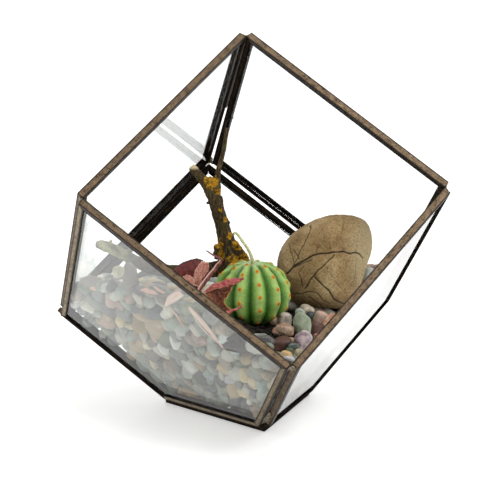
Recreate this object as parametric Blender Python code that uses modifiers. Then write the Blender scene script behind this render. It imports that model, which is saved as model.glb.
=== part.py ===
"""A desk terrarium: a framed glass cube that stands on one cut-off corner, open on the face that
leans forward, and filled with gravel, soil, a ball cactus, a boulder, a twig and dried leaves.

Metres, +Z up. The origin is the middle of the small triangular foot, on the table. The open face
looks along -Y and upwards. A place inside the cube is also given by three distances along the
cube's own edges: towards the front corner, the left corner and the right corner."""

import math

import bmesh
import bpy
from mathutils import Matrix, Vector, noise
from mathutils.geometry import intersect_line_line

# Driving dimensions of the glass cube.
CUBE_EDGE = 0.150
FOOT_CUT = 0.064           # length cut off each of three edges to make the foot
GLASS = 0.0026             # pane thickness
STRIP = 0.0006             # sheet metal of the channel round each pane
FIT_GAP = 0.0003           # clearance between neighbouring pieces
FLANGE = 0.0034            # how far a channel reaches over the glass
FOOT_LIFT = 0.0027         # lowest edge of the side panes above the table
SEAM_GAP = 0.0002          # nominal gap where two panes meet at their inner corners
WIDE_SEAM = 0.0016         # the looser seam behind the opening
SOLDER_LIP = 0.0004        # solder stays this far inside the panes' outer planes
SOLDER_RUN = 0.007         # how far a solder fillet runs along a seam
FOOT_SOLDER_RUN = 0.0102   # length of the solder in a foot corner
LEG_STAGGER = 0.00014      # keeps the legs of a three-way solder joint off each other's planes

CHANNEL = GLASS + 2 * (STRIP + FIT_GAP)     # outside width of a channel
SEAM = CHANNEL + SEAM_GAP                   # how far a pane stays back from its neighbour's face
FOOT_DROP = FOOT_CUT / math.sqrt(3)         # the cut-off corner would reach this far below z = 0
FOOT_SLOPE = math.asin(math.sqrt(2 / 3))    # side pane against the table
FOOT_SETBACK = FOOT_LIFT / math.sin(FOOT_SLOPE)
FOOT_INSET = 0.00055                        # foot pane inside the side panes' lower corners

# Driving dimensions of the contents.
CACTUS_CENTRE = Vector((-0.0083, -0.058, 0.0805))
CACTUS_RADIUS = 0.0212
CACTUS_HALF_HEIGHT = 0.0185
CACTUS_RIBS = 12
STONE_CENTRE = Vector((0.043, -0.022, 0.090))
STONE_HALF_SIZE = Vector((0.0285, 0.023, 0.027))
SOIL_CENTRE = Vector((-0.006, -0.062, 0.0))
SOIL_RADII = (0.021, 0.027)
SOIL_FLOOR = 0.052
FILL_LEVEL = 0.064         # mean height of the gravel round the cactus
HEAP_LEVEL = 0.0713        # height at which the heaps against the front panes are measured
FILL_HALF_WIDTH = 0.125    # the uncut block of fill is wider than the cube
RIM_MARGIN = 0.006         # the gravel stays this far below the open face
STRAW_LIFT = 0.0009        # middle of a straw above the glass's inner channel face
LEAF_THICKNESS = 0.0006

AXES = [
    Vector((math.sqrt(2 / 3) * math.cos(turn), math.sqrt(2 / 3) * math.sin(turn), 1 / math.sqrt(3)))
    for turn in (math.radians(-90), math.radians(150), math.radians(30))
]
FRONT, LEFT, RIGHT = 0, 1, 2

FOOT_SHARE = FOOT_CUT / CUBE_EDGE
CORNERS = {
    "peak": (1, 1, 1),
    "rear": (0, 1, 1),
    "left": (1, 1, 0),
    "left_low": (0, 1, 0),
    "right": (1, 0, 1),
    "right_low": (0, 0, 1),
    "front": (1, 0, 0),
    "foot_front": (FOOT_SHARE, 0, 0),
    "foot_left": (0, FOOT_SHARE, 0),
    "foot_right": (0, 0, FOOT_SHARE),
}

RIM = (0.0, 0.0)
CLOSED = (SEAM, SEAM)
WIDE = (SEAM + WIDE_SEAM, SEAM + WIDE_SEAM)
WIDENING = (SEAM + WIDE_SEAM, SEAM)
TO_FOOT = (FOOT_SETBACK, FOOT_SETBACK)
IN_FOOT = (FOOT_INSET, FOOT_INSET)

# Each pane: its inward normal, its corners in order, and for each edge that starts at that corner
# the name of its channel and its setback at both ends.
PANES = {
    "upper_left": (
        -AXES[LEFT],
        ("peak", "rear", "left_low", "left"),
        (("ridge", CLOSED), ("rear", CLOSED), ("side", CLOSED), ("rim", RIM)),
    ),
    "upper_right": (
        -AXES[RIGHT],
        ("peak", "right", "right_low", "rear"),
        (("rim", RIM), ("side", CLOSED), ("rear", CLOSED), ("ridge", WIDENING)),
    ),
    "front_left": (
        AXES[RIGHT],
        ("left", "front", "foot_front", "foot_left", "left_low"),
        (("rim", RIM), ("nose", CLOSED), ("foot", TO_FOOT), ("rear", CLOSED), ("side", CLOSED)),
    ),
    "front_right": (
        AXES[LEFT],
        ("front", "right", "right_low", "foot_right", "foot_front"),
        (("rim", RIM), ("side", CLOSED), ("rear", CLOSED), ("foot", TO_FOOT), ("nose", CLOSED)),
    ),
    "back": (
        AXES[FRONT],
        ("rear", "right_low", "foot_right", "foot_left", "left_low"),
        (("right", WIDE), ("low_right", CLOSED), ("foot", TO_FOOT), ("low_left", CLOSED),
         ("left", CLOSED)),
    ),
    "foot": (
        Vector((0, 0, 1)),
        ("foot_front", "foot_right", "foot_left"),
        (("right", IN_FOOT), ("rear", IN_FOOT), ("left", IN_FOOT)),
    ),
}

# Colour, roughness and metallic value of each finish.
FINISHES = {
    "bronze": ((0.17, 0.13, 0.09), 0.42, 0.9),
    "solder": ((0.30, 0.27, 0.22), 0.38, 0.9),
    "glass": ((0.86, 0.93, 0.90), 0.05, 0.0),
    "gravel": ((0.58, 0.57, 0.50), 0.7, 0.0),
    "soil": ((0.05, 0.04, 0.035), 0.95, 0.0),
    "cactus": ((0.17, 0.42, 0.10), 0.5, 0.0),
    "stalk": ((0.62, 0.66, 0.38), 0.6, 0.0),
    "boulder": ((0.47, 0.35, 0.19), 0.8, 0.0),
    "bark": ((0.24, 0.18, 0.09), 0.9, 0.0),
    "leaf": ((0.30, 0.07, 0.06), 0.7, 0.0),
    "straw": ((0.72, 0.58, 0.50), 0.8, 0.0),
    "pebble": ((0.62, 0.52, 0.42), 0.55, 0.0),
}


def clear_scene():
    for item in list(bpy.data.objects):
        bpy.data.objects.remove(item, do_unlink=True)


def new_collection(name):
    group = bpy.data.collections.new(name)
    bpy.context.scene.collection.children.link(group)
    return group


def finish(name):
    if name in bpy.data.materials:
        return bpy.data.materials[name]
    colour, roughness, metallic = FINISHES[name]
    material = bpy.data.materials.new(name)
    material.use_nodes = True
    shader = material.node_tree.nodes["Principled BSDF"]
    shader.inputs["Base Color"].default_value = (*colour, 1.0)
    shader.inputs["Roughness"].default_value = roughness
    shader.inputs["Metallic"].default_value = metallic
    return material


def add_part(name, mesh, finish_name):
    item = bpy.data.objects.new(name, mesh)
    PARTS.objects.link(item)
    item.data.materials.append(finish(finish_name))
    return item


def add_cutter(name, mesh):
    item = bpy.data.objects.new(name, mesh)
    CUTTERS.objects.link(item)
    item.hide_render = True
    item.display_type = "WIRE"
    return item


def mesh_from(name, bm, smooth=False):
    mesh = bpy.data.meshes.new(name)
    bm.to_mesh(mesh)
    bm.free()
    if smooth:
        mesh.shade_smooth()
    return mesh


def loft(name, rings):
    """A closed solid through rings of equally many points, capped at both ends."""
    bm = bmesh.new()
    loops = [[bm.verts.new(point) for point in ring] for ring in rings]
    bm.faces.new(loops[0])
    bm.faces.new(loops[-1])
    for near, far in zip(loops, loops[1:]):
        for i in range(len(near)):
            j = (i + 1) % len(near)
            bm.faces.new((near[i], near[j], far[j], far[i]))
    bmesh.ops.recalc_face_normals(bm, faces=bm.faces)
    return mesh_from(name, bm)


def boolean(item, operation, cutter):
    step = item.modifiers.new(cutter.name, "BOOLEAN")
    step.operation = operation
    step.solver = "EXACT"
    step.object = cutter


def clearance_copy(item, margin=FIT_GAP):
    """A slightly larger wire copy of a piece, to cut the bed that the piece sits in."""
    copy = add_cutter(item.name + "_clearance", item.data)
    grow = copy.modifiers.new("grow", "DISPLACE")
    grow.strength = margin * 1.4
    grow.mid_level = 0.0
    return copy


# The glass cube and its metalwork.

def cube_place(front, left, right):
    place = front * AXES[FRONT] + left * AXES[LEFT] + right * AXES[RIGHT]
    return place - Vector((0, 0, FOOT_DROP))


def corner_place(name):
    return cube_place(*(CUBE_EDGE * share for share in CORNERS[name]))


class Pane:
    """One pane's outline, from which its glass and its channel bars are made."""

    def __init__(self, name):
        self.name = name
        self.inward, corner_names, self.edges = PANES[name]
        corners = [corner_place(corner) for corner in corner_names]
        middle = sum(corners, Vector()) / len(corners)
        self.lines = []
        for i, (_, (start_back, end_back)) in enumerate(self.edges):
            start, end = corners[i], corners[(i + 1) % len(corners)]
            across = self.inward.cross(end - start).normalized()
            if across.dot(middle - start) < 0:
                across.negate()
            start = start + across * start_back
            end = end + across * end_back
            along = (end - start).normalized()
            across = (across - along * across.dot(along)).normalized()
            self.lines.append((start, along, across))

    def corner(self, index, offset, depth):
        """Where the lines of edges index - 1 and index meet, moved in by offset and depth."""
        ends = []
        for line in (index - 1, index % len(self.lines)):
            start, along, across = self.lines[line]
            start = start + across * offset
            ends += [start, start + along]
        return intersect_line_line(*ends)[0] + self.inward * depth

    def glass(self):
        offset = STRIP + FIT_GAP
        rings = [
            [self.corner(i, offset, depth) for i in range(len(self.lines))]
            for depth in (offset, offset + GLASS)
        ]
        add_part(self.name + "_pane", loft(self.name + "_pane", rings), "glass")

    def channel(self, index):
        """The U-shaped bar along one edge, mitred against the bars next to it."""
        profile = (
            (0, 0), (FLANGE, 0), (FLANGE, STRIP), (STRIP, STRIP),
            (STRIP, CHANNEL - STRIP), (FLANGE, CHANNEL - STRIP), (FLANGE, CHANNEL), (0, CHANNEL),
        )
        along = self.lines[index][1]
        rings = []
        for corner_index, sign in ((index, 1), (index + 1, -1)):
            neighbour = self.lines[(corner_index - (1 if sign > 0 else 0)) % len(self.lines)][1]
            half_angle = (math.pi - along.angle(neighbour)) / 2
            trim = along * sign * FIT_GAP / 2 / math.sin(half_angle)
            rings.append([self.corner(corner_index % len(self.lines), u, v) + trim
                          for u, v in profile])
        name = f"{self.name}_channel_{self.edges[index][0]}"
        add_part(name, loft(name, rings), "bronze")


def make_panes():
    for name in PANES:
        pane = Pane(name)
        pane.glass()
        for index in range(len(pane.edges)):
            pane.channel(index)


def fillet_profile(width_p, width_q, steps=6):
    """Solder in a right-angled groove: a hollow fillet between the two channels' outer corners."""
    points = [(width_p, width_q)]
    for step in range(steps + 1):
        turn = math.pi / 2 * step / steps
        bend_p = math.cos(turn) ** 0.5 if step < steps else 0.0
        bend_q = math.sin(turn) ** 0.5
        points.append((SOLDER_LIP + (width_p - SOLDER_LIP) * bend_p,
                       SOLDER_LIP + (width_q - SOLDER_LIP) * bend_q))
    return points


def solder_leg(name, corner, along, side_p, side_q, back_p=SEAM, back_q=SEAM, start=SOLDER_LIP,
               floor=None):
    """A fillet that starts near a corner and thins out along a seam. side_p and side_q point
    into the cube from the two panes' outer planes."""
    profile = fillet_profile(back_p - FIT_GAP, back_q - FIT_GAP)
    inner = Vector((back_p - FIT_GAP, back_q - FIT_GAP))
    rings = []
    for run, share in ((start, 1.0), (0.4 * SOLDER_RUN, 0.85), (SOLDER_RUN, 0.35)):
        ring = []
        for p, q in profile:
            p = inner.x + (p - inner.x) * share
            q = inner.y + (q - inner.y) * share
            point = corner + side_p * p + side_q * q + along * run
            if floor is not None:
                if not rings:
                    point += along * ((floor - point.z) / along.z)
                else:
                    point += along * FOOT_SOLDER_RUN
            ring.append(point)
        rings.append(ring)
    return loft(name, rings)


def make_solder():
    ways = AXES
    # Rim corners have two panes, with the seam running back from the opening.
    rim = {
        "peak": (-ways[FRONT], -ways[LEFT], -ways[RIGHT]),
        "left": (-ways[FRONT], -ways[LEFT], ways[RIGHT]),
        "right": (-ways[FRONT], ways[LEFT], -ways[RIGHT]),
        "front": (-ways[FRONT], ways[LEFT], ways[RIGHT]),
    }
    for corner, (along, side_p, side_q) in rim.items():
        name = "solder_" + corner
        add_part(name, solder_leg(name, corner_place(corner), along, side_p, side_q), "solder")

    # Deep corners have three panes and three seams.
    deep = {
        "rear": (ways[FRONT], -ways[LEFT], -ways[RIGHT]),
        "left_low": (ways[FRONT], -ways[LEFT], ways[RIGHT]),
        "right_low": (ways[FRONT], ways[LEFT], -ways[RIGHT]),
    }
    for corner, sides in deep.items():
        name = "solder_" + corner
        legs = []
        for i in range(3):
            side_p, side_q = sides[(i + 1) % 3], sides[(i + 2) % 3]
            shy = i * LEG_STAGGER
            legs.append(solder_leg(f"{name}_leg_{i}", corner_place(corner), sides[i], side_p, side_q,
                                   SEAM - shy, SEAM - 1.7 * shy, SOLDER_LIP + 2.3 * shy))
        joint = add_part(name, legs[0], "solder")
        for i in (1, 2):
            boolean(joint, "UNION", add_cutter(f"{name}_leg_{i}", legs[i]))

    # Foot corners have two side panes above the foot pane.
    foot = {
        "foot_front": (ways[FRONT], ways[LEFT], ways[RIGHT]),
        "foot_left": (ways[LEFT], ways[RIGHT], ways[FRONT]),
        "foot_right": (ways[RIGHT], ways[FRONT], ways[LEFT]),
    }
    for corner, (along, side_p, side_q) in foot.items():
        name = "solder_" + corner
        mesh = solder_leg(name, corner_place(corner), along, side_p, side_q,
                          floor=CHANNEL + FIT_GAP)
        add_part(name, mesh, "solder")


# The fill.

def clamp(value, low=0.0, high=1.0):
    return max(low, min(high, value))


def fill_height(x, y):
    """Mean height of the gravel: low at the front corner, heaped against both front panes."""
    from_cactus = y - CACTUS_CENTRE.y
    level = FILL_LEVEL + 0.009 * clamp(from_cactus / 0.078) - 0.008 * clamp(-from_cactus / 0.060)
    surface = Vector((x, y, HEAP_LEVEL + FOOT_DROP))
    to_left_glass = max(0.0, surface.dot(AXES[RIGHT])) / AXES[FRONT].xy.length
    to_right_glass = max(0.0, surface.dot(AXES[LEFT])) / AXES[FRONT].xy.length
    level += 0.018 * math.exp(-(to_left_glass / 0.020) ** 2) * clamp((x + 0.100) / 0.030)
    level += 0.010 * math.exp(-(to_right_glass / 0.020) ** 2) * clamp((y + 0.070) / 0.040)
    opening = (CUBE_EDGE - y * AXES[FRONT].y) / AXES[FRONT].z - FOOT_DROP
    return min(level, opening - RIM_MARGIN)


def fill_block(name, lift=0.0):
    """Everything between the foot pane and the fill's surface, wider than the cube."""
    bm = bmesh.new()
    bmesh.ops.create_grid(bm, x_segments=22, y_segments=22, size=FILL_HALF_WIDTH)
    for vert in bm.verts:
        vert.co.z = fill_height(vert.co.x, vert.co.y) + lift
    base = bmesh.ops.extrude_face_region(bm, geom=bm.faces[:])
    for vert in base["geom"]:
        if isinstance(vert, bmesh.types.BMVert):
            vert.co.z = CHANNEL + FIT_GAP
    bmesh.ops.recalc_face_normals(bm, faces=bm.faces)
    return mesh_from(name, bm)


def inner_cube():
    bm = bmesh.new()
    margin = CHANNEL + FIT_GAP + SEAM_GAP
    bmesh.ops.create_cube(bm, size=CUBE_EDGE - 2 * margin)
    turn = Matrix((AXES[FRONT], AXES[LEFT], AXES[RIGHT])).transposed().to_4x4()
    centre = cube_place(*(3 * [CUBE_EDGE / 2]))
    bmesh.ops.transform(bm, matrix=Matrix.Translation(centre) @ turn, verts=bm.verts)
    bmesh.ops.recalc_face_normals(bm, faces=bm.faces)
    return add_cutter("inner_cube", mesh_from("inner_cube", bm))


def soil_prism(name, margin, floor):
    bm = bmesh.new()
    bmesh.ops.create_cone(bm, cap_ends=True, segments=28, radius1=1.0, radius2=1.0, depth=0.1)
    size = Vector((SOIL_RADII[0] + margin, SOIL_RADII[1] + margin, 1.0))
    bmesh.ops.scale(bm, vec=size, verts=bm.verts)
    bmesh.ops.translate(bm, vec=SOIL_CENTRE + Vector((0, 0, floor + 0.05)), verts=bm.verts)
    return add_cutter(name, mesh_from(name, bm))


def make_fill(settled, in_soil):
    """The gravel leaves room for every settled piece, and the soil for those named in in_soil."""
    cube = inner_cube()
    soil_space = soil_prism("soil_space", FIT_GAP, SOIL_FLOOR - FIT_GAP)
    clearances = {item.name: clearance_copy(item) for item in settled}

    gravel = add_part("gravel_bed", fill_block("gravel_bed"), "gravel")
    boolean(gravel, "INTERSECT", cube)
    boolean(gravel, "DIFFERENCE", soil_space)
    for cutter in clearances.values():
        boolean(gravel, "DIFFERENCE", cutter)

    soil = add_part("soil_bed", fill_block("soil_bed", lift=0.0008), "soil")
    boolean(soil, "INTERSECT", soil_prism("soil_shape", 0.0, SOIL_FLOOR))
    boolean(soil, "INTERSECT", cube)
    for name in in_soil:
        boolean(soil, "DIFFERENCE", clearances[name])


# What grows and lies in the fill.

def make_cactus():
    bm = bmesh.new()
    bmesh.ops.create_uvsphere(bm, u_segments=4 * CACTUS_RIBS, v_segments=18, radius=1.0)
    for vert in bm.verts:
        around = math.atan2(vert.co.y, vert.co.x)
        outward = math.hypot(vert.co.x, vert.co.y)
        crest = abs(math.cos(CACTUS_RIBS * around / 2)) ** 0.7
        reach = CACTUS_RADIUS * outward * (1 - 0.12 * (1 - crest) * clamp(outward * 2))
        dimple = 0.0022 * math.exp(-(outward / 0.22) ** 2) if vert.co.z > 0 else 0.0
        vert.co = Vector((
            reach * math.cos(around),
            reach * math.sin(around),
            max(CACTUS_HALF_HEIGHT * vert.co.z, -0.0175) - dimple,
        ))
    bmesh.ops.translate(bm, vec=CACTUS_CENTRE, verts=bm.verts)
    return add_part("cactus_body", mesh_from("cactus_body", bm, smooth=True), "cactus")


def make_stone():
    bm = bmesh.new()
    bmesh.ops.create_uvsphere(bm, u_segments=28, v_segments=16, radius=1.0)
    for vert in bm.verts:
        square = Vector([math.copysign(abs(value) ** 0.86, value) for value in vert.co])
        taper = 1.0 - 0.34 * clamp(-square.z) ** 1.3
        lean = 0.006 * square.z
        rough = 1.0 + 0.02 * noise.noise(vert.co * 1.7)
        vert.co = Vector((
            STONE_HALF_SIZE.x * square.x * taper + lean,
            STONE_HALF_SIZE.y * square.y * taper,
            STONE_HALF_SIZE.z * square.z,
        )) * rough
    bmesh.ops.translate(bm, vec=STONE_CENTRE, verts=bm.verts)
    return add_part("dome_stone", mesh_from("dome_stone", bm, smooth=True), "boulder")


def smooth_route(points, steps):
    """Catmull-Rom points through (x, y, z, radius) rows given in millimetres."""
    rows = [Vector(point) * 0.001 for point in points]
    rows = [2 * rows[0] - rows[1]] + rows + [2 * rows[-1] - rows[-2]]
    route = []
    for before, start, end, after in zip(rows, rows[1:], rows[2:], rows[3:]):
        for step in range(steps):
            t = step / steps
            route.append(0.5 * (2 * start + (end - before) * t
                                + (2 * before - 5 * start + 4 * end - after) * t ** 2
                                + (3 * start - before - 3 * end + after) * t ** 3))
    route.append(rows[-2])
    return route


def limb_mesh(name, points, steps=2):
    """A round tapering limb as a closed mesh, from a bevelled curve."""
    curve = bpy.data.curves.new(name, "CURVE")
    curve.dimensions = "3D"
    curve.bevel_depth = 1.0
    curve.bevel_resolution = 2
    curve.use_fill_caps = True
    route = smooth_route(points, steps)
    spline = curve.splines.new("POLY")
    spline.points.add(len(route) - 1)
    for point, row in zip(spline.points, route):
        point.co = (row[0], row[1], row[2], 1.0)
        point.radius = row[3]
    guide = bpy.data.objects.new(name, curve)
    bpy.context.scene.collection.objects.link(guide)
    depsgraph = bpy.context.evaluated_depsgraph_get()
    mesh = bpy.data.meshes.new_from_object(guide.evaluated_get(depsgraph))
    bpy.data.objects.remove(guide, do_unlink=True)
    bpy.data.curves.remove(curve)
    bm = bmesh.new()
    bm.from_mesh(mesh)
    bpy.data.meshes.remove(mesh)
    bmesh.ops.remove_doubles(bm, verts=bm.verts, dist=0.00002)
    return mesh_from(name, bm, smooth=True)


def make_driftwood():
    """A forked twig: an upright trunk with two arms, and a long limb lying to the left."""
    limbs = {
        "trunk": [(-9, -7, 76, 6.0), (-9.8, -5, 88, 6.4), (-11, -4, 97.1, 5.4),
                  (-14.4, -5, 109.3, 4.5), (-17.6, -7, 119.4, 4.3), (-19.3, -8, 127, 4.3)],
        "left_arm": [(-18.4, -7.6, 123, 3.6), (-24.7, -9, 135, 3.2), (-29, -10, 140.5, 2.7),
                     (-33.2, -11, 145.4, 2.3)],
        "left_stub": [(-27, -9.6, 138, 2.0), (-31.2, -10.4, 144.8, 1.5)],
        "right_arm": [(-19, -8, 125.5, 3.2), (-18.2, -9, 136.5, 1.9), (-17.3, -9, 143.8, 1.5),
                      (-14.8, -10, 153.2, 1.3), (-12.6, -11, 166.9, 1.3)],
        "curl": [(-13.0, -11, 165, 0.7), (-13.7, -11, 169.3, 0.6), (-11.3, -11, 171.8, 0.5),
                 (-8.4, -11, 172.9, 0.4)],
        "lying_limb": [(-10, -5, 87, 5.0), (-21, -3, 84.5, 4.6), (-34.2, -3, 84, 4.1),
                       (-49.2, -4, 85.5, 3.7), (-61.9, -6, 90, 3.5), (-75, -9, 97.9, 3.3),
                       (-83.3, -11, 102, 3.0), (-88, -12, 103.4, 2.4)],
    }
    wood = None
    for limb, points in limbs.items():
        mesh = limb_mesh("driftwood_" + limb, points)
        if wood is None:
            wood = add_part("driftwood", mesh, "bark")
        else:
            boolean(wood, "UNION", add_cutter("driftwood_" + limb, mesh))
    return wood


def make_stalk():
    points = [(-7.6, -58, 98.6, 0.95), (-9.3, -58, 102.9, 0.9), (-13, -58, 108.7, 0.85),
              (-16.1, -58, 113.3, 0.8), (-17.5, -58, 114.4, 0.75), (-18.7, -58, 113.4, 0.6)]
    add_part("cactus_stalk", limb_mesh("cactus_stalk", points, steps=3), "stalk")


def dried_leaf(name, base, tip, side, half_widths, curl, finish_name="leaf"):
    """A thin curled blade from base to tip. half_widths follow its length; millimetres."""
    base, tip, side = (Vector(value) * 0.001 for value in (base, tip, side))
    along = tip - base
    side = (side - along * side.dot(along) / along.length_squared).normalized()
    lift = side.cross(along).normalized()
    bm = bmesh.new()
    bmesh.ops.create_grid(bm, x_segments=6, y_segments=len(half_widths) - 1, size=1.0)
    for vert in bm.verts:
        share = (vert.co.y + 1) / 2
        half = half_widths[round(share * (len(half_widths) - 1))] * 0.001
        bend = curl * 0.001 * (vert.co.x ** 2 + 0.6 * math.sin(math.pi * share))
        wave = 0.0006 * math.sin(3.1 * vert.co.x + 7 * share)
        vert.co = base + along * share + side * half * vert.co.x + lift * (bend + wave)
    blade = add_part(name, mesh_from(name, bm, smooth=True), finish_name)
    wall = blade.modifiers.new("thickness", "SOLIDIFY")
    wall.thickness = LEAF_THICKNESS
    wall.offset = 0.0
    return blade


def make_leaves():
    dried_leaf("dried_leaf_broad", (-43, -57, 86), (-42, -49, 98.5), (1, 0.2, 0.12),
               (2.5, 6.5, 9.5, 10, 7, 3), 2.5)
    dried_leaf("dried_leaf_narrow", (-41.5, -67, 87), (-33.5, -60, 99), (1, 0, -0.6),
               (1.4, 2.4, 3.2, 3.4, 2.8, 1.2), 1.0)
    dried_leaf("dried_leaf_crumpled", (-36, -87, 82.5), (-20.5, -85, 91), (0.3, -0.15, -1),
               (3.2, 5.6, 7.2, 6.6, 4.4, 1.6), 2.2)
    stem = [(-40.2, -73.5, 86.2, 1.2), (-33.3, -68, 92.6, 1.2), (-27.2, -63, 98.6, 1.0),
            (-26.4, -61.8, 101, 0.8), (-29.9, -61.5, 102.9, 0.7), (-33.8, -60, 105.3, 0.5)]
    add_part("dried_stem", limb_mesh("dried_stem", stem), "leaf")


def make_straw():
    """Two dry straws lying flat against the inside of the front left pane."""
    pieces = {
        "straw_long": ((0.1150, 0.0540), 63, 0.0135, 0.0026),
        "straw_short": ((0.1190, 0.0785), -13, 0.0135, 0.0024),
    }
    straws = []
    for name, ((front, left), turn, half_length, half_width) in pieces.items():
        bm = bmesh.new()
        bmesh.ops.create_cube(bm, size=2.0)
        bmesh.ops.scale(bm, vec=(half_length, half_width, 0.0004), verts=bm.verts)
        bmesh.ops.rotate(bm, matrix=Matrix.Rotation(math.radians(turn), 3, "Z"), verts=bm.verts)
        frame = Matrix((AXES[FRONT], AXES[LEFT], AXES[RIGHT])).transposed().to_4x4()
        place = Matrix.Translation(cube_place(front, left, CHANNEL + STRAW_LIFT))
        bmesh.ops.transform(bm, matrix=place @ frame, verts=bm.verts)
        bmesh.ops.recalc_face_normals(bm, faces=bm.faces)
        straws.append(add_part(name, mesh_from(name, bm), "straw"))
    return straws


def make_pebbles():
    """The five large pebbles on top of the fill, near the front corner: place, radii, turn."""
    rows = {
        "pebble_round_grey": ((21.5, -59, 68.0), (4.8, 4.2, 3.8), 20),
        "pebble_cream": ((4.5, -84, 65.0), (4.6, 3.8, 3.2), -25),
        "pebble_green": ((15.5, -80, 64.8), (5.0, 5.6, 4.6), 60),
        "pebble_purple": ((11.0, -95.5, 61.5), (4.4, 4.6, 3.6), 35),
        "pebble_rust": ((-0.5, -97, 60.0), (6.0, 4.4, 4.0), 12),
    }
    pebbles = []
    for name, (place, radii, turn) in rows.items():
        bm = bmesh.new()
        bmesh.ops.create_icosphere(bm, subdivisions=3, radius=1.0)
        shift = Vector((place[0], place[1], 0.0))
        for vert in bm.verts:
            vert.co *= 1.0 + 0.10 * noise.noise(vert.co * 1.1 + shift)
        bmesh.ops.scale(bm, vec=Vector(radii) * 0.001, verts=bm.verts)
        bmesh.ops.rotate(bm, matrix=Matrix.Rotation(math.radians(turn), 3, "Z"), verts=bm.verts)
        bmesh.ops.translate(bm, vec=Vector(place) * 0.001, verts=bm.verts)
        pebbles.append(add_part(name, mesh_from(name, bm, smooth=True), "pebble"))
    return pebbles


clear_scene()
PARTS = new_collection("glass_terrarium")
CUTTERS = new_collection("cutters")

make_panes()
make_solder()
settled_pieces = [make_cactus(), make_stone()] + make_pebbles() + make_straw()
make_driftwood()
make_stalk()
make_leaves()
make_fill(settled_pieces, ("straw_long", "pebble_cream", "pebble_green", "cactus_body"))
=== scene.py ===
import math
import random

import bmesh
import bpy
import numpy as np
from mathutils import Euler, Matrix, Vector, noise
from mathutils.bvhtree import BVHTree


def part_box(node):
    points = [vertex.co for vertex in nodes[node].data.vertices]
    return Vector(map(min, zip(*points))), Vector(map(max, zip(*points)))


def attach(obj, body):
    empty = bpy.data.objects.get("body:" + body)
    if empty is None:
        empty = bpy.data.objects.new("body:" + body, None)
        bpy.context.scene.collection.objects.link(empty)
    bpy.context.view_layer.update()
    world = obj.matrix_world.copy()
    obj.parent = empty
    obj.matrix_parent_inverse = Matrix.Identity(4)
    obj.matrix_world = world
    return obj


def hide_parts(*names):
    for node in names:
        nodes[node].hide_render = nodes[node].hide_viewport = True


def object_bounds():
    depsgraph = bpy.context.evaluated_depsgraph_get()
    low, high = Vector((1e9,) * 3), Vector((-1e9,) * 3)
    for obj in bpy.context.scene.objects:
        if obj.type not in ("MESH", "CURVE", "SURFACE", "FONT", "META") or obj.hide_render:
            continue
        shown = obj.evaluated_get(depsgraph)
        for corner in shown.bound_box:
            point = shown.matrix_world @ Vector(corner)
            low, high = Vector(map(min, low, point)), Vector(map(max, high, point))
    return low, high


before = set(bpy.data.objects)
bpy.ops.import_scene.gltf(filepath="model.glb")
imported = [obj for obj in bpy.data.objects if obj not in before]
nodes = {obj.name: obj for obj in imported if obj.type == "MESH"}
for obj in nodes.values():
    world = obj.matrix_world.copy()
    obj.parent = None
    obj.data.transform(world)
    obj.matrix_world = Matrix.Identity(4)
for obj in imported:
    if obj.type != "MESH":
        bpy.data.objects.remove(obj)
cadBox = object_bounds()
mm = 0.001
print("frame loaded,", len(nodes), "parts")


# the glass cube stands on a cut corner: these are its own three directions

cube = {
    "edge": 0.150,
    "footCut": 0.064,
    "innerFace": 0.0036,      # inner face of the glass, from a pane's outer plane
}
third = math.sqrt(2 / 3)
toFront, toLeft, toRight = (
    Vector((third * math.cos(turn), third * math.sin(turn), 1 / math.sqrt(3)))
    for turn in (math.radians(-90), math.radians(150), math.radians(30))
)


def cubePlace(front, left, right):
    place = toFront * front + toLeft * left + toRight * right
    return place * mm - Vector((0, 0, cube["footCut"] / math.sqrt(3)))


def clamp(value, low=0.0, high=1.0):
    return max(low, min(high, value))


def easeBetween(low, high, value):
    share = clamp((value - low) / (high - low))
    return share * share * (3 - 2 * share)


# small helpers for node materials

def startMaterial(name, roughness=0.6, metallic=0.0, specular=0.5):
    material = bpy.data.materials.new(name)
    material.use_nodes = True
    tree = material.node_tree
    shader = tree.nodes["Principled BSDF"]
    shader.inputs["Roughness"].default_value = roughness
    shader.inputs["Metallic"].default_value = metallic
    shader.inputs["Specular IOR Level"].default_value = specular
    return material, tree, shader


def addNode(tree, kind, values=None, **settings):
    node = tree.nodes.new(kind)
    for key, value in settings.items():
        setattr(node, key, value)
    for key, value in (values or {}).items():
        if isinstance(value, bpy.types.NodeSocket):
            tree.links.new(value, node.inputs[key])
        else:
            node.inputs[key].default_value = value
    return node


def objectPlace(tree):
    return addNode(tree, "ShaderNodeTexCoord").outputs["Object"]


def attributeOf(tree, name, output="Fac"):
    return addNode(tree, "ShaderNodeAttribute", attribute_name=name).outputs[output]


def noiseOf(tree, place, scale, detail=4.0, rough=0.55, seed=None, distortion=0.0):
    values = {"Vector": place, "Scale": scale, "Detail": detail, "Roughness": rough,
              "Distortion": distortion}
    if seed is None:
        return addNode(tree, "ShaderNodeTexNoise", values).outputs["Fac"]
    values["W"] = seed
    return addNode(tree, "ShaderNodeTexNoise", values, noise_dimensions="4D").outputs["Fac"]


def rampOf(tree, factor, stops):
    ramp = addNode(tree, "ShaderNodeValToRGB", {"Fac": factor})
    band = ramp.color_ramp
    while len(band.elements) < len(stops):
        band.elements.new(0.5)
    for element, (place, colour) in zip(band.elements, stops):
        element.position = place
        element.color = (*colour, 1.0) if len(colour) == 3 else colour
    return ramp.outputs["Color"]


def stepOf(tree, factor, low, high):
    return addNode(tree, "ShaderNodeMapRange", {"Value": factor, "From Min": low, "From Max": high},
                   interpolation_type="SMOOTHSTEP").outputs["Result"]


def mathOf(tree, operation, first, second=0.0):
    return addNode(tree, "ShaderNodeMath", {0: first, 1: second}, operation=operation).outputs[0]


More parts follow.
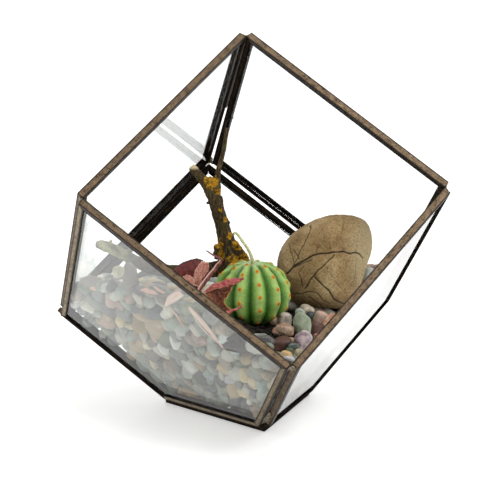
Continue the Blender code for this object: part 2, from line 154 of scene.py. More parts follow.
def mixOf(tree, factor, first, second, blend="MIX"):
    node = addNode(tree, "ShaderNodeMix", data_type="RGBA", blend_type=blend)
    for key, value in ((0, factor), (6, first), (7, second)):
        if isinstance(value, bpy.types.NodeSocket):
            tree.links.new(value, node.inputs[key])
        elif key == 0:
            node.inputs[key].default_value = value
        else:
            node.inputs[key].default_value = (*value, 1.0)
    return node.outputs[2]


def addBump(tree, shader, height, strength, distance):
    bump = addNode(tree, "ShaderNodeBump",
                   {"Height": height, "Strength": strength, "Distance": distance})
    tree.links.new(bump.outputs["Normal"], shader.inputs["Normal"])


def paint(tree, shader, colour, roughness=None):
    tree.links.new(colour, shader.inputs["Base Color"])
    if roughness is not None:
        tree.links.new(roughness, shader.inputs["Roughness"])


# small helpers for meshes

def makePiece(name, bm, material, replaced=(), smooth=True):
    mesh = bpy.data.meshes.new(name)
    bm.to_mesh(mesh)
    bm.free()
    if smooth:
        mesh.shade_smooth()
    piece = bpy.data.objects.new(name, mesh)
    bpy.context.scene.collection.objects.link(piece)
    piece.data.materials.append(material)
    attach(piece, "root")
    for node in replaced:
        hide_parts(node)
    return piece


def smoothRoute(points, steps):
    rows = [Vector(point) * mm for point in points]
    rows = [2 * rows[0] - rows[1]] + rows + [2 * rows[-1] - rows[-2]]
    route = []
    for before, start, end, after in zip(rows, rows[1:], rows[2:], rows[3:]):
        for step in range(steps):
            t = step / steps
            route.append(0.5 * (2 * start + (end - before) * t
                                + (2 * before - 5 * start + 4 * end - after) * t ** 2
                                + (3 * start - before - 3 * end + after) * t ** 3))
    route.append(rows[-2])
    return route


def growTube(bm, points, sides=12, steps=6, flat=1.0):
    # an end disc is made once, then its rim is extruded from ring to ring and closed
    route = smoothRoute(points, steps)
    disc = bmesh.ops.create_circle(bm, cap_ends=True, segments=sides, radius=1.0)["verts"]
    shape = [vert.co.copy() for vert in disc]
    rim = {edge for vert in disc for edge in vert.link_edges}
    ring, made, side = list(disc), list(disc), None
    for i, row in enumerate(route):
        if i:
            grown = bmesh.ops.extrude_edge_only(bm, edges=list(rim))["geom"]
            fresh = [item for item in grown if isinstance(item, bmesh.types.BMVert)]
            partner = {}
            for vert in fresh:
                for edge in vert.link_edges:
                    other = edge.other_vert(vert)
                    if other in ring:
                        partner[other] = vert
            ring = [partner[vert] for vert in ring]
            rim = {item for item in grown if isinstance(item, bmesh.types.BMEdge)
                   and item.verts[0] in fresh and item.verts[1] in fresh}
            made += ring
        ahead = (route[min(i + 1, len(route) - 1)] - route[max(i - 1, 0)]).xyz.normalized()
        if side is None:
            side = ahead.orthogonal().normalized()
        side = (side - ahead * side.dot(ahead)).normalized()
        over = ahead.cross(side)
        for vert, spot in zip(ring, shape):
            vert.co = row.xyz + (side * spot.x + over * spot.y * flat) * row.w
    bmesh.ops.edgeloop_fill(bm, edges=list(rim))
    return made


# camera, floor and light

view = {
    "place": (-0.19033, -0.94586, 0.25571),
    "turn": 11.522,
    "down": 9.465,
    "roll": -0.18866,
    "lens": 121.5,
}


def makeCamera():
    lens = bpy.data.cameras.new("camera")
    lens.lens = view["lens"]
    lens.clip_start = 0.02
    lens.clip_end = 100
    camera = bpy.data.objects.new("camera", lens)
    camera.location = view["place"]
    turn, tilt, roll = (math.radians(value) for value in (-view["turn"], 90 - view["down"],
                                                          view["roll"]))
    facing = Matrix.Rotation(turn, 4, "Z") @ Matrix.Rotation(tilt, 4, "X")
    camera.rotation_euler = (facing @ Matrix.Rotation(roll, 4, "Z")).to_euler()
    bpy.context.scene.collection.objects.link(camera)
    bpy.context.scene.camera = camera


studio = {
    "floorRadius": 30.0,
    "floorGlow": 0.42,
    "sky": 0.62,
    "lamps": (
        # name, the way it stands from the object, how wide it is in degrees, strength
        ("key", (0.55, -0.35, 1.0), 35.0, 1.5),
        ("rear", (-0.5, 0.6, 1.0), 60.0, 0.6),
    ),
}


def makeStudio():
    bm = bmesh.new()
    bmesh.ops.create_circle(bm, cap_ends=True, segments=96, radius=studio["floorRadius"])
    mesh = bpy.data.meshes.new("floor")
    bm.to_mesh(mesh)
    bm.free()
    floor = bpy.data.objects.new("floor", mesh)
    bpy.context.scene.collection.objects.link(floor)
    material, tree, shader = startMaterial("whiteSweep", roughness=0.32, specular=0.35)
    shader.inputs["Base Color"].default_value = (0.93, 0.93, 0.925, 1.0)
    shader.inputs["Emission Color"].default_value = (1.0, 1.0, 1.0, 1.0)
    shader.inputs["Emission Strength"].default_value = studio["floorGlow"]
    floor.data.materials.append(material)
    world = bpy.data.worlds.new("studio")
    world.use_nodes = True
    sky = world.node_tree.nodes["Background"]
    sky.inputs["Color"].default_value = (1.0, 1.0, 1.0, 1.0)
    sky.inputs["Strength"].default_value = studio["sky"]
    bpy.context.scene.world = world
    for name, place, width, strength in studio["lamps"]:
        lamp = bpy.data.lights.new(name, "SUN")
        lamp.angle = math.radians(width)
        lamp.energy = strength
        item = bpy.data.objects.new(name, lamp)
        item.location = place
        item.rotation_euler = Vector(place).to_track_quat("Z", "Y").to_euler()
        bpy.context.scene.collection.objects.link(item)
    bpy.context.scene.view_settings.view_transform = "Standard"


makeCamera()
makeStudio()
print("camera, floor and lights made")


# the panes keep their shape and get clear glass that mirrors more at a slant

glass = {
    "tint": (0.985, 0.995, 0.99),
    "straightOn": 0.04,
    "atSlant": 0.96,
}


def clearGlass():
    material = bpy.data.materials.new("clearGlass")
    material.use_nodes = True
    tree = material.node_tree
    tree.nodes.remove(tree.nodes["Principled BSDF"])
    facing = addNode(tree, "ShaderNodeLayerWeight", {"Blend": 0.5}).outputs["Facing"]
    slant = mathOf(tree, "POWER", facing, 5.0)
    mirrorShare = mathOf(tree, "MULTIPLY", slant, glass["atSlant"])
    # a trace of dust makes the mirror share uneven
    dust = noiseOf(tree, objectPlace(tree), 60.0, 5.0)
    dusty = mathOf(tree, "MULTIPLY", dust, 0.02)
    share = mathOf(tree, "ADD", mathOf(tree, "ADD", mirrorShare, glass["straightOn"]), dusty)
    clear = addNode(tree, "ShaderNodeBsdfTransparent", {"Color": (*glass["tint"], 1.0)})
    mirror = addNode(tree, "ShaderNodeBsdfGlossy", {"Color": (1, 1, 1, 1), "Roughness": 0.03})
    both = addNode(tree, "ShaderNodeMixShader", {0: share, 1: clear.outputs[0],
                                                 2: mirror.outputs[0]})
    tree.links.new(both.outputs[0], tree.nodes["Material Output"].inputs["Surface"])
    return material


# the metal channels: dark patina and painted dark reflection on their flanges, rubbed and streaky along
# their webs

bronze = {
    "black": (0.006, 0.005, 0.005),
    "brown": (0.040, 0.026, 0.016),
    "tan": (0.150, 0.102, 0.060),
    "pale": (0.36, 0.27, 0.165),
    "gold": (0.27, 0.215, 0.125),
    "streakLength": 14.0,
    # the edge line is painted shade and dark reflection along the rounded edges
    "edgeShadeLine": 0.75,         # width of the dark line along each edge
    # bars whose flanges are rubbed down to the gold as well
    "rubbed": ("front_left_channel_side", "front_left_channel_nose", "front_left_channel_foot"),
    # bars painted dark all over, with no reflection: dark patina and painted shade
    "dark": ("back_", "foot_", "_channel_ridge", "_channel_rear", "front_right_channel_side",
             "front_right_channel_foot"),
}


def mainAxes(node):
    points = np.array([vert.co for vert in node.data.vertices])
    points = points - points.mean(axis=0)
    return [Vector(row) for row in np.linalg.svd(points, full_matrices=False)[2]]


def extentAlong(node, way):
    reach = [vert.co.dot(way) for vert in node.data.vertices]
    return (min(reach) + max(reach)) / 2, (max(reach) - min(reach)) / 2


def bronzeFinish(name, node, run, faceNormal):
    material, tree, shader = startMaterial(name, roughness=0.42, metallic=0.85)
    across = faceNormal.cross(run).normalized()
    turn = Matrix((run, across, faceNormal)).transposed().to_euler()
    place = objectPlace(tree)
    alongBar = addNode(tree, "ShaderNodeMapping", {
        "Vector": place, "Rotation": turn,
        "Scale": (bronze["streakLength"], 1.0, 1.0)}, vector_type="TEXTURE").outputs[0]
    streaks = noiseOf(tree, alongBar, 2400.0, 3.0, 0.6)
    blotches = noiseOf(tree, place, 330.0, 6.0, 0.70)
    fine = noiseOf(tree, place, 1300.0, 4.0, 0.7)
    worn = mathOf(tree, "ADD", mathOf(tree, "MULTIPLY", streaks, 0.22), mathOf(
        tree, "ADD", mathOf(tree, "MULTIPLY", blotches, 0.34), mathOf(tree, "MULTIPLY", fine, 0.44)))
    rubbed = node.name in bronze["rubbed"]
    dark = any(part in node.name for part in bronze["dark"])
    shader.inputs["Metallic"].default_value = 0.0 if dark else 0.8
    shader.inputs["Specular IOR Level"].default_value = 0.0 if dark else 0.5
    web = rampOf(tree, worn, [(0.36, bronze["black"]), (0.43, bronze["brown"]),
                              (0.50, bronze["tan"]), (0.57, bronze["tan"]), (0.68, bronze["pale"])])
    # bars in the dark list are painted darker all over: painted shade as well as patina
    if dark:
        web = rampOf(tree, worn, [(0.40, bronze["black"]), (0.56, bronze["brown"]),
                                  (0.68, bronze["tan"])])
    # the flanges are painted darker than the webs: dark patina and painted dark reflection
    flange = rampOf(tree, worn, [(0.44, bronze["black"]), (0.58, bronze["brown"]),
                                 (0.68, bronze["tan"])])
    if rubbed:
        flange, web = rampOf(tree, worn, [(0.38, bronze["brown"]), (0.46, bronze["tan"]),
                                          (0.54, bronze["gold"]), (0.64, bronze["pale"])]), flange
    normal = addNode(tree, "ShaderNodeTexCoord").outputs["Normal"]
    flat = addNode(tree, "ShaderNodeVectorMath", {0: normal, 1: faceNormal},
                   operation="DOT_PRODUCT").outputs["Value"]
    onFlange = stepOf(tree, mathOf(tree, "ABSOLUTE", flat), 0.5, 0.7)
    # a painted line of shade and dark reflection runs along the edges of the webs and the flanges
    edges = []
    for way in (faceNormal, across):
        centre, half = extentAlong(node, way)
        along = addNode(tree, "ShaderNodeVectorMath", {0: place, 1: way},
                        operation="DOT_PRODUCT").outputs["Value"]
        away = mathOf(tree, "ABSOLUTE", mathOf(tree, "SUBTRACT", along, centre))
        edges.append(stepOf(tree, away, half - bronze["edgeShadeLine"] * mm * 1.4,
                            half - bronze["edgeShadeLine"] * mm * 0.5))
    line = addNode(tree, "ShaderNodeMix", {0: onFlange, 2: edges[0], 3: edges[1]}).outputs[0]
    line = mathOf(tree, "MULTIPLY", line, 0.88)
    rough = addNode(tree, "ShaderNodeMapRange", {"Value": worn, "From Min": 0.35, "From Max": 0.65,
                                                 "To Min": 0.66, "To Max": 0.34})
    colour = mixOf(tree, line, mixOf(tree, onFlange, web, flange), bronze["black"])
    paint(tree, shader, colour, rough.outputs["Result"])
    addBump(tree, shader, mathOf(tree, "ADD", streaks, mathOf(tree, "MULTIPLY", fine, 0.6)),
            0.02 if dark else 0.35, 0.0003)
    return material


def finishChannels():
    for paneName in sorted(name for name in nodes if name.endswith("_pane")):
        nodes[paneName].data.materials.clear()
        nodes[paneName].data.materials.append(clearGlass())
        faceNormal = mainAxes(nodes[paneName])[2]
        prefix = paneName.replace("_pane", "_channel_")
        for name in sorted(name for name in nodes if name.startswith(prefix)):
            node = nodes[name]
            run = mainAxes(node)[0]
            node.data.materials.clear()
            node.data.materials.append(bronzeFinish("bronze_" + name, node, run, faceNormal))


solder = {
    "puff": 0.30,             # added before the corners melt away
    "voxel": 0.34,
    "smoothing": 7,
    "swell": 0.05,
    "bright": ((0.36, (0.012, 0.010, 0.008)), (0.50, (0.11, 0.088, 0.055)),
               (0.62, (0.36, 0.30, 0.19)), (0.74, (0.50, 0.46, 0.36))),
    "blackened": ((0.36, (0.006, 0.005, 0.005)), (0.56, (0.034, 0.023, 0.015)),
                  (0.72, (0.110, 0.078, 0.048))),
    # solder run along two of the rear seams: towards the front, left and right, and half width
    "seams": {
        "ridge_seam": ((144.0, 146.2, 146.2, 1.3), (118.0, 146.1, 146.2, 1.35),
                       (92.0, 145.9, 146.2, 1.45), (78.0, 145.8, 146.2, 1.2),
                       (71.0, 145.7, 146.3, 0.4)),
        "left_rear_seam": ((3.7, 146.3, 141.0, 1.2), (3.7, 146.3, 75.0, 1.25),
                           (3.7, 146.3, 9.0, 1.2)),
    },
}


def solderFinish(name, stops, metallic):
    material, tree, shader = startMaterial(name, roughness=0.36, metallic=metallic)
    place = objectPlace(tree)
    lumps = noiseOf(tree, place, 520.0, 3.0)
    stain = noiseOf(tree, place, 1100.0, 4.0, 0.65)
    colour = rampOf(tree, stain, stops)
    rough = addNode(tree, "ShaderNodeMapRange", {"Value": lumps, "To Min": 0.25, "To Max": 0.55})
    paint(tree, shader, colour, rough.outputs["Result"])
    addBump(tree, shader, lumps, 0.6, 0.0008)
    return material


def voxelBlend(bm, voxel):
    # overlapping closed shapes become one closed skin
    mesh = bpy.data.meshes.new("rough")
    bm.to_mesh(mesh)
    bm.free()
    item = bpy.data.objects.new("rough", mesh)
    bpy.context.scene.collection.objects.link(item)
    remesh = item.modifiers.new("remesh", "REMESH")
    remesh.mode = "VOXEL"
    remesh.voxel_size = voxel * mm
    depsgraph = bpy.context.evaluated_depsgraph_get()
    blended = bpy.data.meshes.new_from_object(item.evaluated_get(depsgraph))
    bpy.data.objects.remove(item, do_unlink=True)
    bpy.data.meshes.remove(mesh)
    result = bmesh.new()
    result.from_mesh(blended)
    bpy.data.meshes.remove(blended)
    return result


def meltSolder():
    # each seam's solder keeps its place but gets soft edges and a lumpy skin
    material = solderFinish("patinatedSolder", solder["bright"], 0.9)
    for name in sorted(name for name in nodes if name.startswith("solder_")):
        rough = bmesh.new()
        rough.from_mesh(nodes[name].data)
        bmesh.ops.remove_doubles(rough, verts=rough.verts, dist=0.000005)
        rough.normal_update()
        puffs = [vert.normal * solder["puff"] * mm for vert in rough.verts]
        for vert, puff in zip(rough.verts, puffs):
            vert.co += puff
        bm = voxelBlend(rough, solder["voxel"])
        for _ in range(solder["smoothing"]):
            bmesh.ops.smooth_vert(bm, verts=bm.verts, factor=0.5, use_axis_x=True,
                                  use_axis_y=True, use_axis_z=True)
        bm.normal_update()
        moves = [vert.normal * (solder["swell"] + 0.30 * noise.noise(vert.co * 420)
                                + 0.14 * noise.noise(vert.co * 1100)) * mm for vert in bm.verts]
        low, high = cadBox
        for vert, move in zip(bm.verts, moves):
            vert.co += move
            vert.co = [clamp(vert.co[i], low[i], high[i]) for i in range(3)]
        makePiece("melted_" + name, bm, material, [name])


def runSeams():
    material = solderFinish("blackenedSolder", solder["blackened"], 0.2)
    for name, rows in solder["seams"].items():
        bm = bmesh.new()
        route = [(*(cubePlace(*row[:3]) / mm), row[3]) for row in rows]
        growTube(bm, route, sides=14, steps=16)
        for vert in bm.verts:
            vert.co += 0.00022 * noise.noise_vector(vert.co * 260)
        bmesh.ops.recalc_face_normals(bm, faces=bm.faces)
        makePiece(name, bm, material)


finishChannels()
meltSolder()
runSeams()
print("glass, channels and solder finished")


# pebbles: one finish for all, each with its own colours and pattern seed

def pebbleFinish():
    material, tree, shader = startMaterial("tumbledPebble", roughness=0.45, specular=0.45)
    place = objectPlace(tree)
    seed = mathOf(tree, "MULTIPLY", attributeOf(tree, "seed"), 40.0)
    tint = attributeOf(tree, "tint", "Color")
    second = attributeOf(tree, "second", "Color")
    banded = attributeOf(tree, "banded")
    cloud = noiseOf(tree, place, 210.0, 5.0, 0.6, seed)
    grain = noiseOf(tree, place, 1500.0, 3.0, 0.6, seed)
    warp = noiseOf(tree, place, 330.0, 3.0, 0.5, seed, 1.2)
    stripes = mathOf(tree, "FRACT", mathOf(tree, "MULTIPLY", warp, 9.0))
    stripes = mathOf(tree, "ABSOLUTE", mathOf(tree, "SUBTRACT", stripes, 0.5))
    stripes = stepOf(tree, stripes, 0.16, 0.34)
    patches = stepOf(tree, cloud, 0.47, 0.60)
    pattern = mathOf(tree, "MULTIPLY", mathOf(tree, "MAXIMUM", patches,
                                              mathOf(tree, "MULTIPLY", stripes, 0.7)), banded)
    colour = mixOf(tree, pattern, tint, second)
    shade = rampOf(tree, cloud, [(0.30, (0.72, 0.72, 0.72)), (0.70, (1.12, 1.12, 1.12))])
    colour = mixOf(tree, 1.0, colour, shade, "MULTIPLY")
    fleck = rampOf(tree, grain, [(0.32, (0.62, 0.60, 0.57)), (0.44, (1.0, 1.0, 1.0)),
                                 (0.64, (1.0, 1.0, 1.0)), (0.74, (1.22, 1.21, 1.18))])
    colour = mixOf(tree, 1.0, colour, fleck, "MULTIPLY")
    rough = addNode(tree, "ShaderNodeMapRange", {"Value": cloud, "To Min": 0.30, "To Max": 0.62})
    paint(tree, shader, colour, rough.outputs["Result"])
    addBump(tree, shader, mathOf(tree, "ADD", cloud, mathOf(tree, "MULTIPLY", grain, 0.25)),
            0.25, 0.0008)
    return material


def addPebble(group, place, radii, turn, tint, second, banded, seed, fineness=2, lumps=0.10):
    # each pebble is made by itself, then joins the group's mesh with its own colours
    bm = bmesh.new()
    tintLayer = bm.verts.layers.float_color.new("tint")
    secondLayer = bm.verts.layers.float_color.new("second")
    seedLayer = bm.verts.layers.float.new("seed")
    bandedLayer = bm.verts.layers.float.new("banded")
    offset = Vector((seed * 37.0, seed * 91.0, seed * 13.0))
    for vert in bmesh.ops.create_icosphere(bm, subdivisions=fineness, radius=1.0)["verts"]:
        unit = vert.co.copy()
        squared = Vector([math.copysign(abs(value) ** 0.80, value) for value in unit])
        swell = 1.0 + lumps * noise.noise(unit * 1.05 + offset)
        vert.co = turn @ (Vector([squared[i] * radii[i] for i in range(3)]) * swell) + place
        vert[tintLayer] = (*tint, 1.0)
        vert[secondLayer] = (*second, 1.0)
        vert[seedLayer] = seed
        vert[bandedLayer] = banded
    mesh = bpy.data.meshes.new("pebble")
    bm.to_mesh(mesh)
    bm.free()
    group.from_mesh(mesh)
    bpy.data.meshes.remove(mesh)


gravel = {
    "seed": 11,
    "smallest": 2.3,
    "largest": 7.2,
    "share": 0.70,            # of the bed's volume taken up by pebbles
    "rounds": 90,
    "wall": 4.9,              # the bed's walls, from the cube's outer planes
    "opening": 144.0,         # and the open face, from the back plane
    "strayLimit": 1.2,        # a pebble whose middle is further than this above the bed is left out
    "shape": (1.26, 1.0, 0.74),
    # colour, second colour, how often
    "colours": (
        ((0.47, 0.46, 0.39), (0.30, 0.29, 0.24), 13),
        ((0.25, 0.28, 0.22), (0.40, 0.41, 0.35), 16),
        ((0.16, 0.18, 0.16), (0.33, 0.34, 0.30), 17),
        ((0.52, 0.43, 0.27), (0.36, 0.25, 0.12), 10),
        ((0.32, 0.23, 0.12), (0.48, 0.36, 0.22), 10),
        ((0.15, 0.12, 0.10), (0.31, 0.26, 0.20), 15),
        ((0.40, 0.27, 0.21), (0.55, 0.43, 0.36), 6),
        ((0.66, 0.65, 0.60), (0.46, 0.45, 0.41), 7),
        ((0.055, 0.055, 0.056), (0.17, 0.17, 0.165), 10),
        ((0.26, 0.09, 0.045), (0.50, 0.33, 0.20), 3),
        ((0.12, 0.15, 0.09), (0.31, 0.34, 0.24), 8),
    ),
    # single pebbles at the front left glass: towards the front, towards the left,
    # width, height, lean in degrees, two colours, banding
    "shown": (
        (28.6, 131.6, 12.3, 10.5, -24, (0.70, 0.68, 0.55), (0.55, 0.53, 0.40), 0.3),
        (57.7, 133.1, 12.2, 7.0, -8, (0.20, 0.165, 0.135), (0.30, 0.26, 0.21), 0.6),
        (53.3, 129.4, 7.4, 2.6, -14, (0.62, 0.34, 0.24), (0.70, 0.50, 0.38), 0.3),
        (65.4, 122.2, 7.4, 5.6, 0, (0.50, 0.52, 0.47), (0.36, 0.38, 0.34), 0.5),
        (96.9, 109.8, 8.6, 17.5, 8, (0.15, 0.13, 0.11), (0.25, 0.22, 0.18), 0.5),
        (94.2, 117.3, 7.4, 7.0, 0, (0.34, 0.33, 0.21), (0.46, 0.44, 0.32), 0.6),
        (42.6, 108.0, 7.6, 10.4, -32, (0.66, 0.56, 0.32), (0.52, 0.42, 0.20), 0.4),
        (57.9, 96.2, 9.9, 15.2, -6, (0.38, 0.29, 0.14), (0.28, 0.20, 0.10), 0.6),
        (12.1, 146.0, 8.2, 9.4, 0, (0.33, 0.36, 0.28), (0.45, 0.47, 0.38), 0.6),
        (53.9, 77.4, 9.0, 12.4, -12, (0.76, 0.78, 0.72), (0.62, 0.65, 0.58), 0.3),
        (68.7, 71.0, 8.0, 11.6, 16, (0.78, 0.79, 0.74), (0.64, 0.66, 0.60), 0.3),
        (88.9, 68.0, 12.2, 8.0, 4, (0.52, 0.56, 0.50), (0.40, 0.43, 0.38), 0.6),
        (40.7, 87.2, 6.4, 8.8, -34, (0.72, 0.66, 0.48), (0.56, 0.50, 0.34), 0.3),
        (115.0, 45.0, 7.6, 7.2, 0, (0.70, 0.74, 0.72), (0.55, 0.60, 0.58), 0.4),
        (114.5, 37.5, 8.2, 9.0, 30, (0.36, 0.42, 0.43), (0.50, 0.55, 0.55), 0.6),
        (96.7, 57.5, 12.0, 9.8, -10, (0.30, 0.19, 0.16), (0.42, 0.31, 0.27), 0.8),
        (84.6, 88.4, 12.2, 10.8, 0, (0.07, 0.085, 0.082), (0.15, 0.17, 0.16), 0.5),
        (76.0, 32.8, 8.4, 6.6, 10, (0.46, 0.42, 0.47), (0.62, 0.60, 0.60), 0.7),
        (92.2, 25.8, 6.8, 9.4, 10, (0.70, 0.58, 0.34), (0.50, 0.38, 0.18), 0.6),
        (98.0, 14.5, 7.6, 10.0, -14, (0.30, 0.40, 0.34), (0.42, 0.50, 0.44), 0.5),
        (22.0, 50.0, 9.8, 6.4, -10, (0.52, 0.34, 0.14), (0.42, 0.26, 0.10), 0.5),
        (46.0, 58.0, 9.0, 10.4, 0, (0.42, 0.47, 0.40), (0.56, 0.58, 0.50), 0.8),
        (63.0, 45.0, 9.0, 7.4, -20, (0.40, 0.46, 0.44), (0.24, 0.29, 0.28), 0.7),
        (34.0, 70.0, 9.6, 8.4, 14, (0.26, 0.21, 0.15), (0.42, 0.36, 0.27), 0.8),
        (70.0, 100.0, 8.4, 6.2, 12, (0.10, 0.115, 0.11), (0.22, 0.24, 0.22), 0.6),
        (106.0, 92.0, 9.4, 7.2, -12, (0.13, 0.13, 0.125), (0.24, 0.24, 0.22), 0.5),
        (40.0, 24.0, 6.0, 8.6, -38, (0.15, 0.24, 0.22), (0.30, 0.38, 0.34), 0.5),
    ),
    # in the view from the front left: right, up and away, for laying out those pebbles
    "viewAxes": ((0.980, -0.200, 0.0), (0.033, 0.161, 0.986), (-0.197, -0.966, 0.164)),
    "shownAt": 8.0,           # depth behind the glass at which their places were set out
    "topLimit": (18.0, -26.0, 62.8),   # right and front of this place none lies higher
    "soilEdge": (-7.0, -68.0, 37.0, 58.5),   # nor within this reach of the soil's middle
}


def pickColours(rng):
    weights = [row[2] for row in gravel["colours"]]
    tint, second, _ = rng.choices(gravel["colours"], weights)[0]
    change = rng.uniform(0.82, 1.16)
    warmth = rng.uniform(-0.04, 0.04)
    shift = (1 + warmth, 1.0, 1 - warmth)
    return ([clamp(part * change * shift[i]) for i, part in enumerate(tint)],
            [clamp(part * change * shift[i]) for i, part in enumerate(second)])


def treeOf(node):
    bm = bmesh.new()
    bm.from_mesh(node.data)
    bmesh.ops.remove_doubles(bm, verts=bm.verts, dist=0.000005)
    tree = BVHTree.FromBMesh(bm)
    volume = bm.calc_volume()
    bm.free()
    return tree, abs(volume)


def depthIn(tree, point):
    spot, normal, _, _ = tree.find_nearest(point)
    inward = -normal
    return (Vector(point) - spot).dot(inward), inward


def isInside(tree, point):
    # an upright ray from a place inside meets the skin an odd number of times
    start, count = Vector(point), 0
    while count < 20:
        hit = tree.ray_cast(start, Vector((0, 0, 1)))[0]
        if hit is None:
            break
        start = hit + Vector((0, 0, 0.00001))
        count += 1
    return count % 2 == 1


def closePairs(places, radii, margin):
    squares = (places ** 2).sum(axis=1)
    distance = squares[:, None] + squares[None, :] - 2 * places @ places.T
    reach = (radii[:, None] + radii[None, :] + margin) ** 2
    first, second = np.nonzero(np.triu(distance < reach, 1))
    return first, second


def shownPebbles():
    # centre, half sizes and row of each single pebble: it moves along the line of sight until
    # it just touches the glass, so its outline stays where it was set out
    right, up, near = (Vector(way) for way in gravel["viewAxes"])
    made = []
    for row in gravel["shown"]:
        front, left, width, height = row[:4]
        size = Vector((width, height, min(width, height) * 0.65)) / 2
        reach = math.sqrt(sum((way.dot(toRight) * part) ** 2
                              for way, part in zip((right, up, near), size)))
        needed = gravel["wall"] + reach * 0.94
        slide = (needed - gravel["shownAt"]) / -near.dot(toRight)
        made.append((cubePlace(front, left, gravel["shownAt"]) - near * slide * mm, size * mm, row))
    return made


def packPebbles(node):
    # random spheres in the bed are pushed apart, and kept inside it, until they settle
    rng = random.Random(gravel["seed"])
    tree, volume = treeOf(node)
    low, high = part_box(node.name)
    radii, filled = [], 0.0
    while filled < volume * gravel["share"]:
        radius = clamp(rng.lognormvariate(math.log(4.0), 0.28), gravel["smallest"],
                       gravel["largest"]) * mm
        radii.append(radius)
        filled += 4 / 3 * math.pi * radius ** 3
    shown = shownPebbles()
    fixed = len(shown)
    radii = np.array([(size[0] + size[1]) * 0.46 for _, size, _ in shown]
                     + sorted(radii, reverse=True))
    walls = np.array([toFront, toLeft, toRight])
    corner = np.array(cubePlace(0, 0, 0))
    held = np.array([place for place, _, _ in shown])
    places = [place for place, _, _ in shown]
    while len(places) < len(radii):
        point = Vector([rng.uniform(low[i], high[i]) for i in range(3)])
        fromWalls = walls @ (np.array(point) - corner)
        inCube = fromWalls.min() > gravel["wall"] * mm and fromWalls[0] < gravel["opening"] * mm
        if inCube and isInside(tree, point) and depthIn(tree, point)[0] > 0.001:
            places.append(point)
    places = np.array(places)
    keep = radii * 0.86
    for turn in range(gravel["rounds"]):
        if turn % 6 == 0:
            first, second = closePairs(places, radii, 0.003)
        apart = places[first] - places[second]
        distance = np.sqrt((apart ** 2).sum(axis=1)) + 1e-9
        push = np.clip(radii[first] + radii[second] - distance, 0.0, None)
        shift = apart * (push / distance * 0.30)[:, None]
        np.add.at(places, first, shift)
        np.add.at(places, second, -shift)
        for i, place in enumerate(places):
            depth, inward = depthIn(tree, place)
            if depth < keep[i]:
                places[i] += np.array(inward) * (keep[i] - depth)
        for wall in walls:
            short = gravel["wall"] * mm + keep - (places - corner) @ wall
            places += np.clip(short, 0.0, None)[:, None] * wall
        over = (places - corner) @ walls[0] + keep - gravel["opening"] * mm
        places -= np.clip(over, 0.0, None)[:, None] * walls[0]
        places[:fixed] = held
    return radii[fixed:], places[fixed:], tree


def makeGravel(material):
    rng = random.Random(gravel["seed"] + 1)
    radii, places, tree = packPebbles(nodes["gravel_bed"])
    corner = cubePlace(0, 0, 0)
    group = bmesh.new()
    for radius, place in zip(radii, places):
        depth, inward = depthIn(tree, place)
        turn = Euler([rng.uniform(0, 2 * math.pi) for _ in range(3)]).to_matrix()
        if depth < radius * 1.3:
            # pebbles at the glass and on top lie flat, with some wobble
            lying = inward.to_track_quat("Z", "Y").to_matrix()
            spin = Matrix.Rotation(rng.uniform(0, 2 * math.pi), 3, "Z")
            wobble = Euler((rng.gauss(0, 0.28), rng.gauss(0, 0.28), 0)).to_matrix()
            turn = lying @ wobble @ spin
        size = [radius * part * rng.uniform(0.9, 1.12) for part in gravel["shape"]]
        across = turn.transposed() @ inward
        needed = math.sqrt(sum((across[i] * size[i]) ** 2 for i in range(3))) * 1.03
        spot = Vector(place)
        if depth < needed:
            spot += inward * (needed - depth)
        tint, second = pickColours(rng)
        banding, seed = rng.choice((0, 0, 0.5, 1)), rng.random()
        strayed = (tree.find_nearest(spot)[0] - spot).length
        if strayed > gravel["strayLimit"] * mm and not isInside(tree, spot):
            continue
        x, y, top = gravel["topLimit"]
        if spot.x > x * mm and spot.y < y * mm and spot.z > top * mm:
            continue
        x, y, reach, top = gravel["soilEdge"]
        offPane = (Vector(place) - corner).dot(toRight) > 11 * mm
        if math.hypot(spot.x / mm - x, spot.y / mm - y) < reach and spot.z > top * mm and offPane:
            continue
        addPebble(group, spot, size, turn, tint, second, banding, seed, lumps=0.30)
    axes = Matrix(gravel["viewAxes"]).transposed()
    for index, (place, size, row) in enumerate(shownPebbles()):
        lean = Matrix.Rotation(math.radians(row[4]), 3, "Z")
        addPebble(group, place, size, axes @ lean, row[5], row[6], row[7], 0.031 * index + 0.4,
                  fineness=4, lumps=0.20)
    makePiece("gravel_pebbles", group, material, ["gravel_bed"])
    print("gravel:", len(radii), "pebbles")


pebbleMaterial = pebbleFinish()
makeGravel(pebbleMaterial)


# soil: a crumbly patch round the cactus, in the bed's pocket

soil = {
    "middle": (-6.0, -62.0),
    "radii": (22.5, 28.5),
    "crumbs": 420,
    "specks": 70,
    "seed": 5,
}


def soilFinish():
    material, tree, shader = startMaterial("drySoil", roughness=0.95, specular=0.2)
    place = objectPlace(tree)
    clods = noiseOf(tree, place, 420.0, 6.0, 0.7)
    grit = noiseOf(tree, place, 2100.0, 3.0, 0.6)
    colour = rampOf(tree, clods, [(0.32, (0.004, 0.003, 0.003)), (0.55, (0.022, 0.016, 0.012)),
                                  (0.75, (0.07, 0.055, 0.042))])
    pale = stepOf(tree, grit, 0.66, 0.72)
    speck = attributeOf(tree, "speck")
    colour = mixOf(tree, mathOf(tree, "MULTIPLY", pale, 0.6), colour, (0.20, 0.18, 0.16))
    colour = mixOf(tree, speck, colour, (0.30, 0.29, 0.27))
    paint(tree, shader, colour)
    addBump(tree, shader, clods, 0.8, 0.0015)
    return material


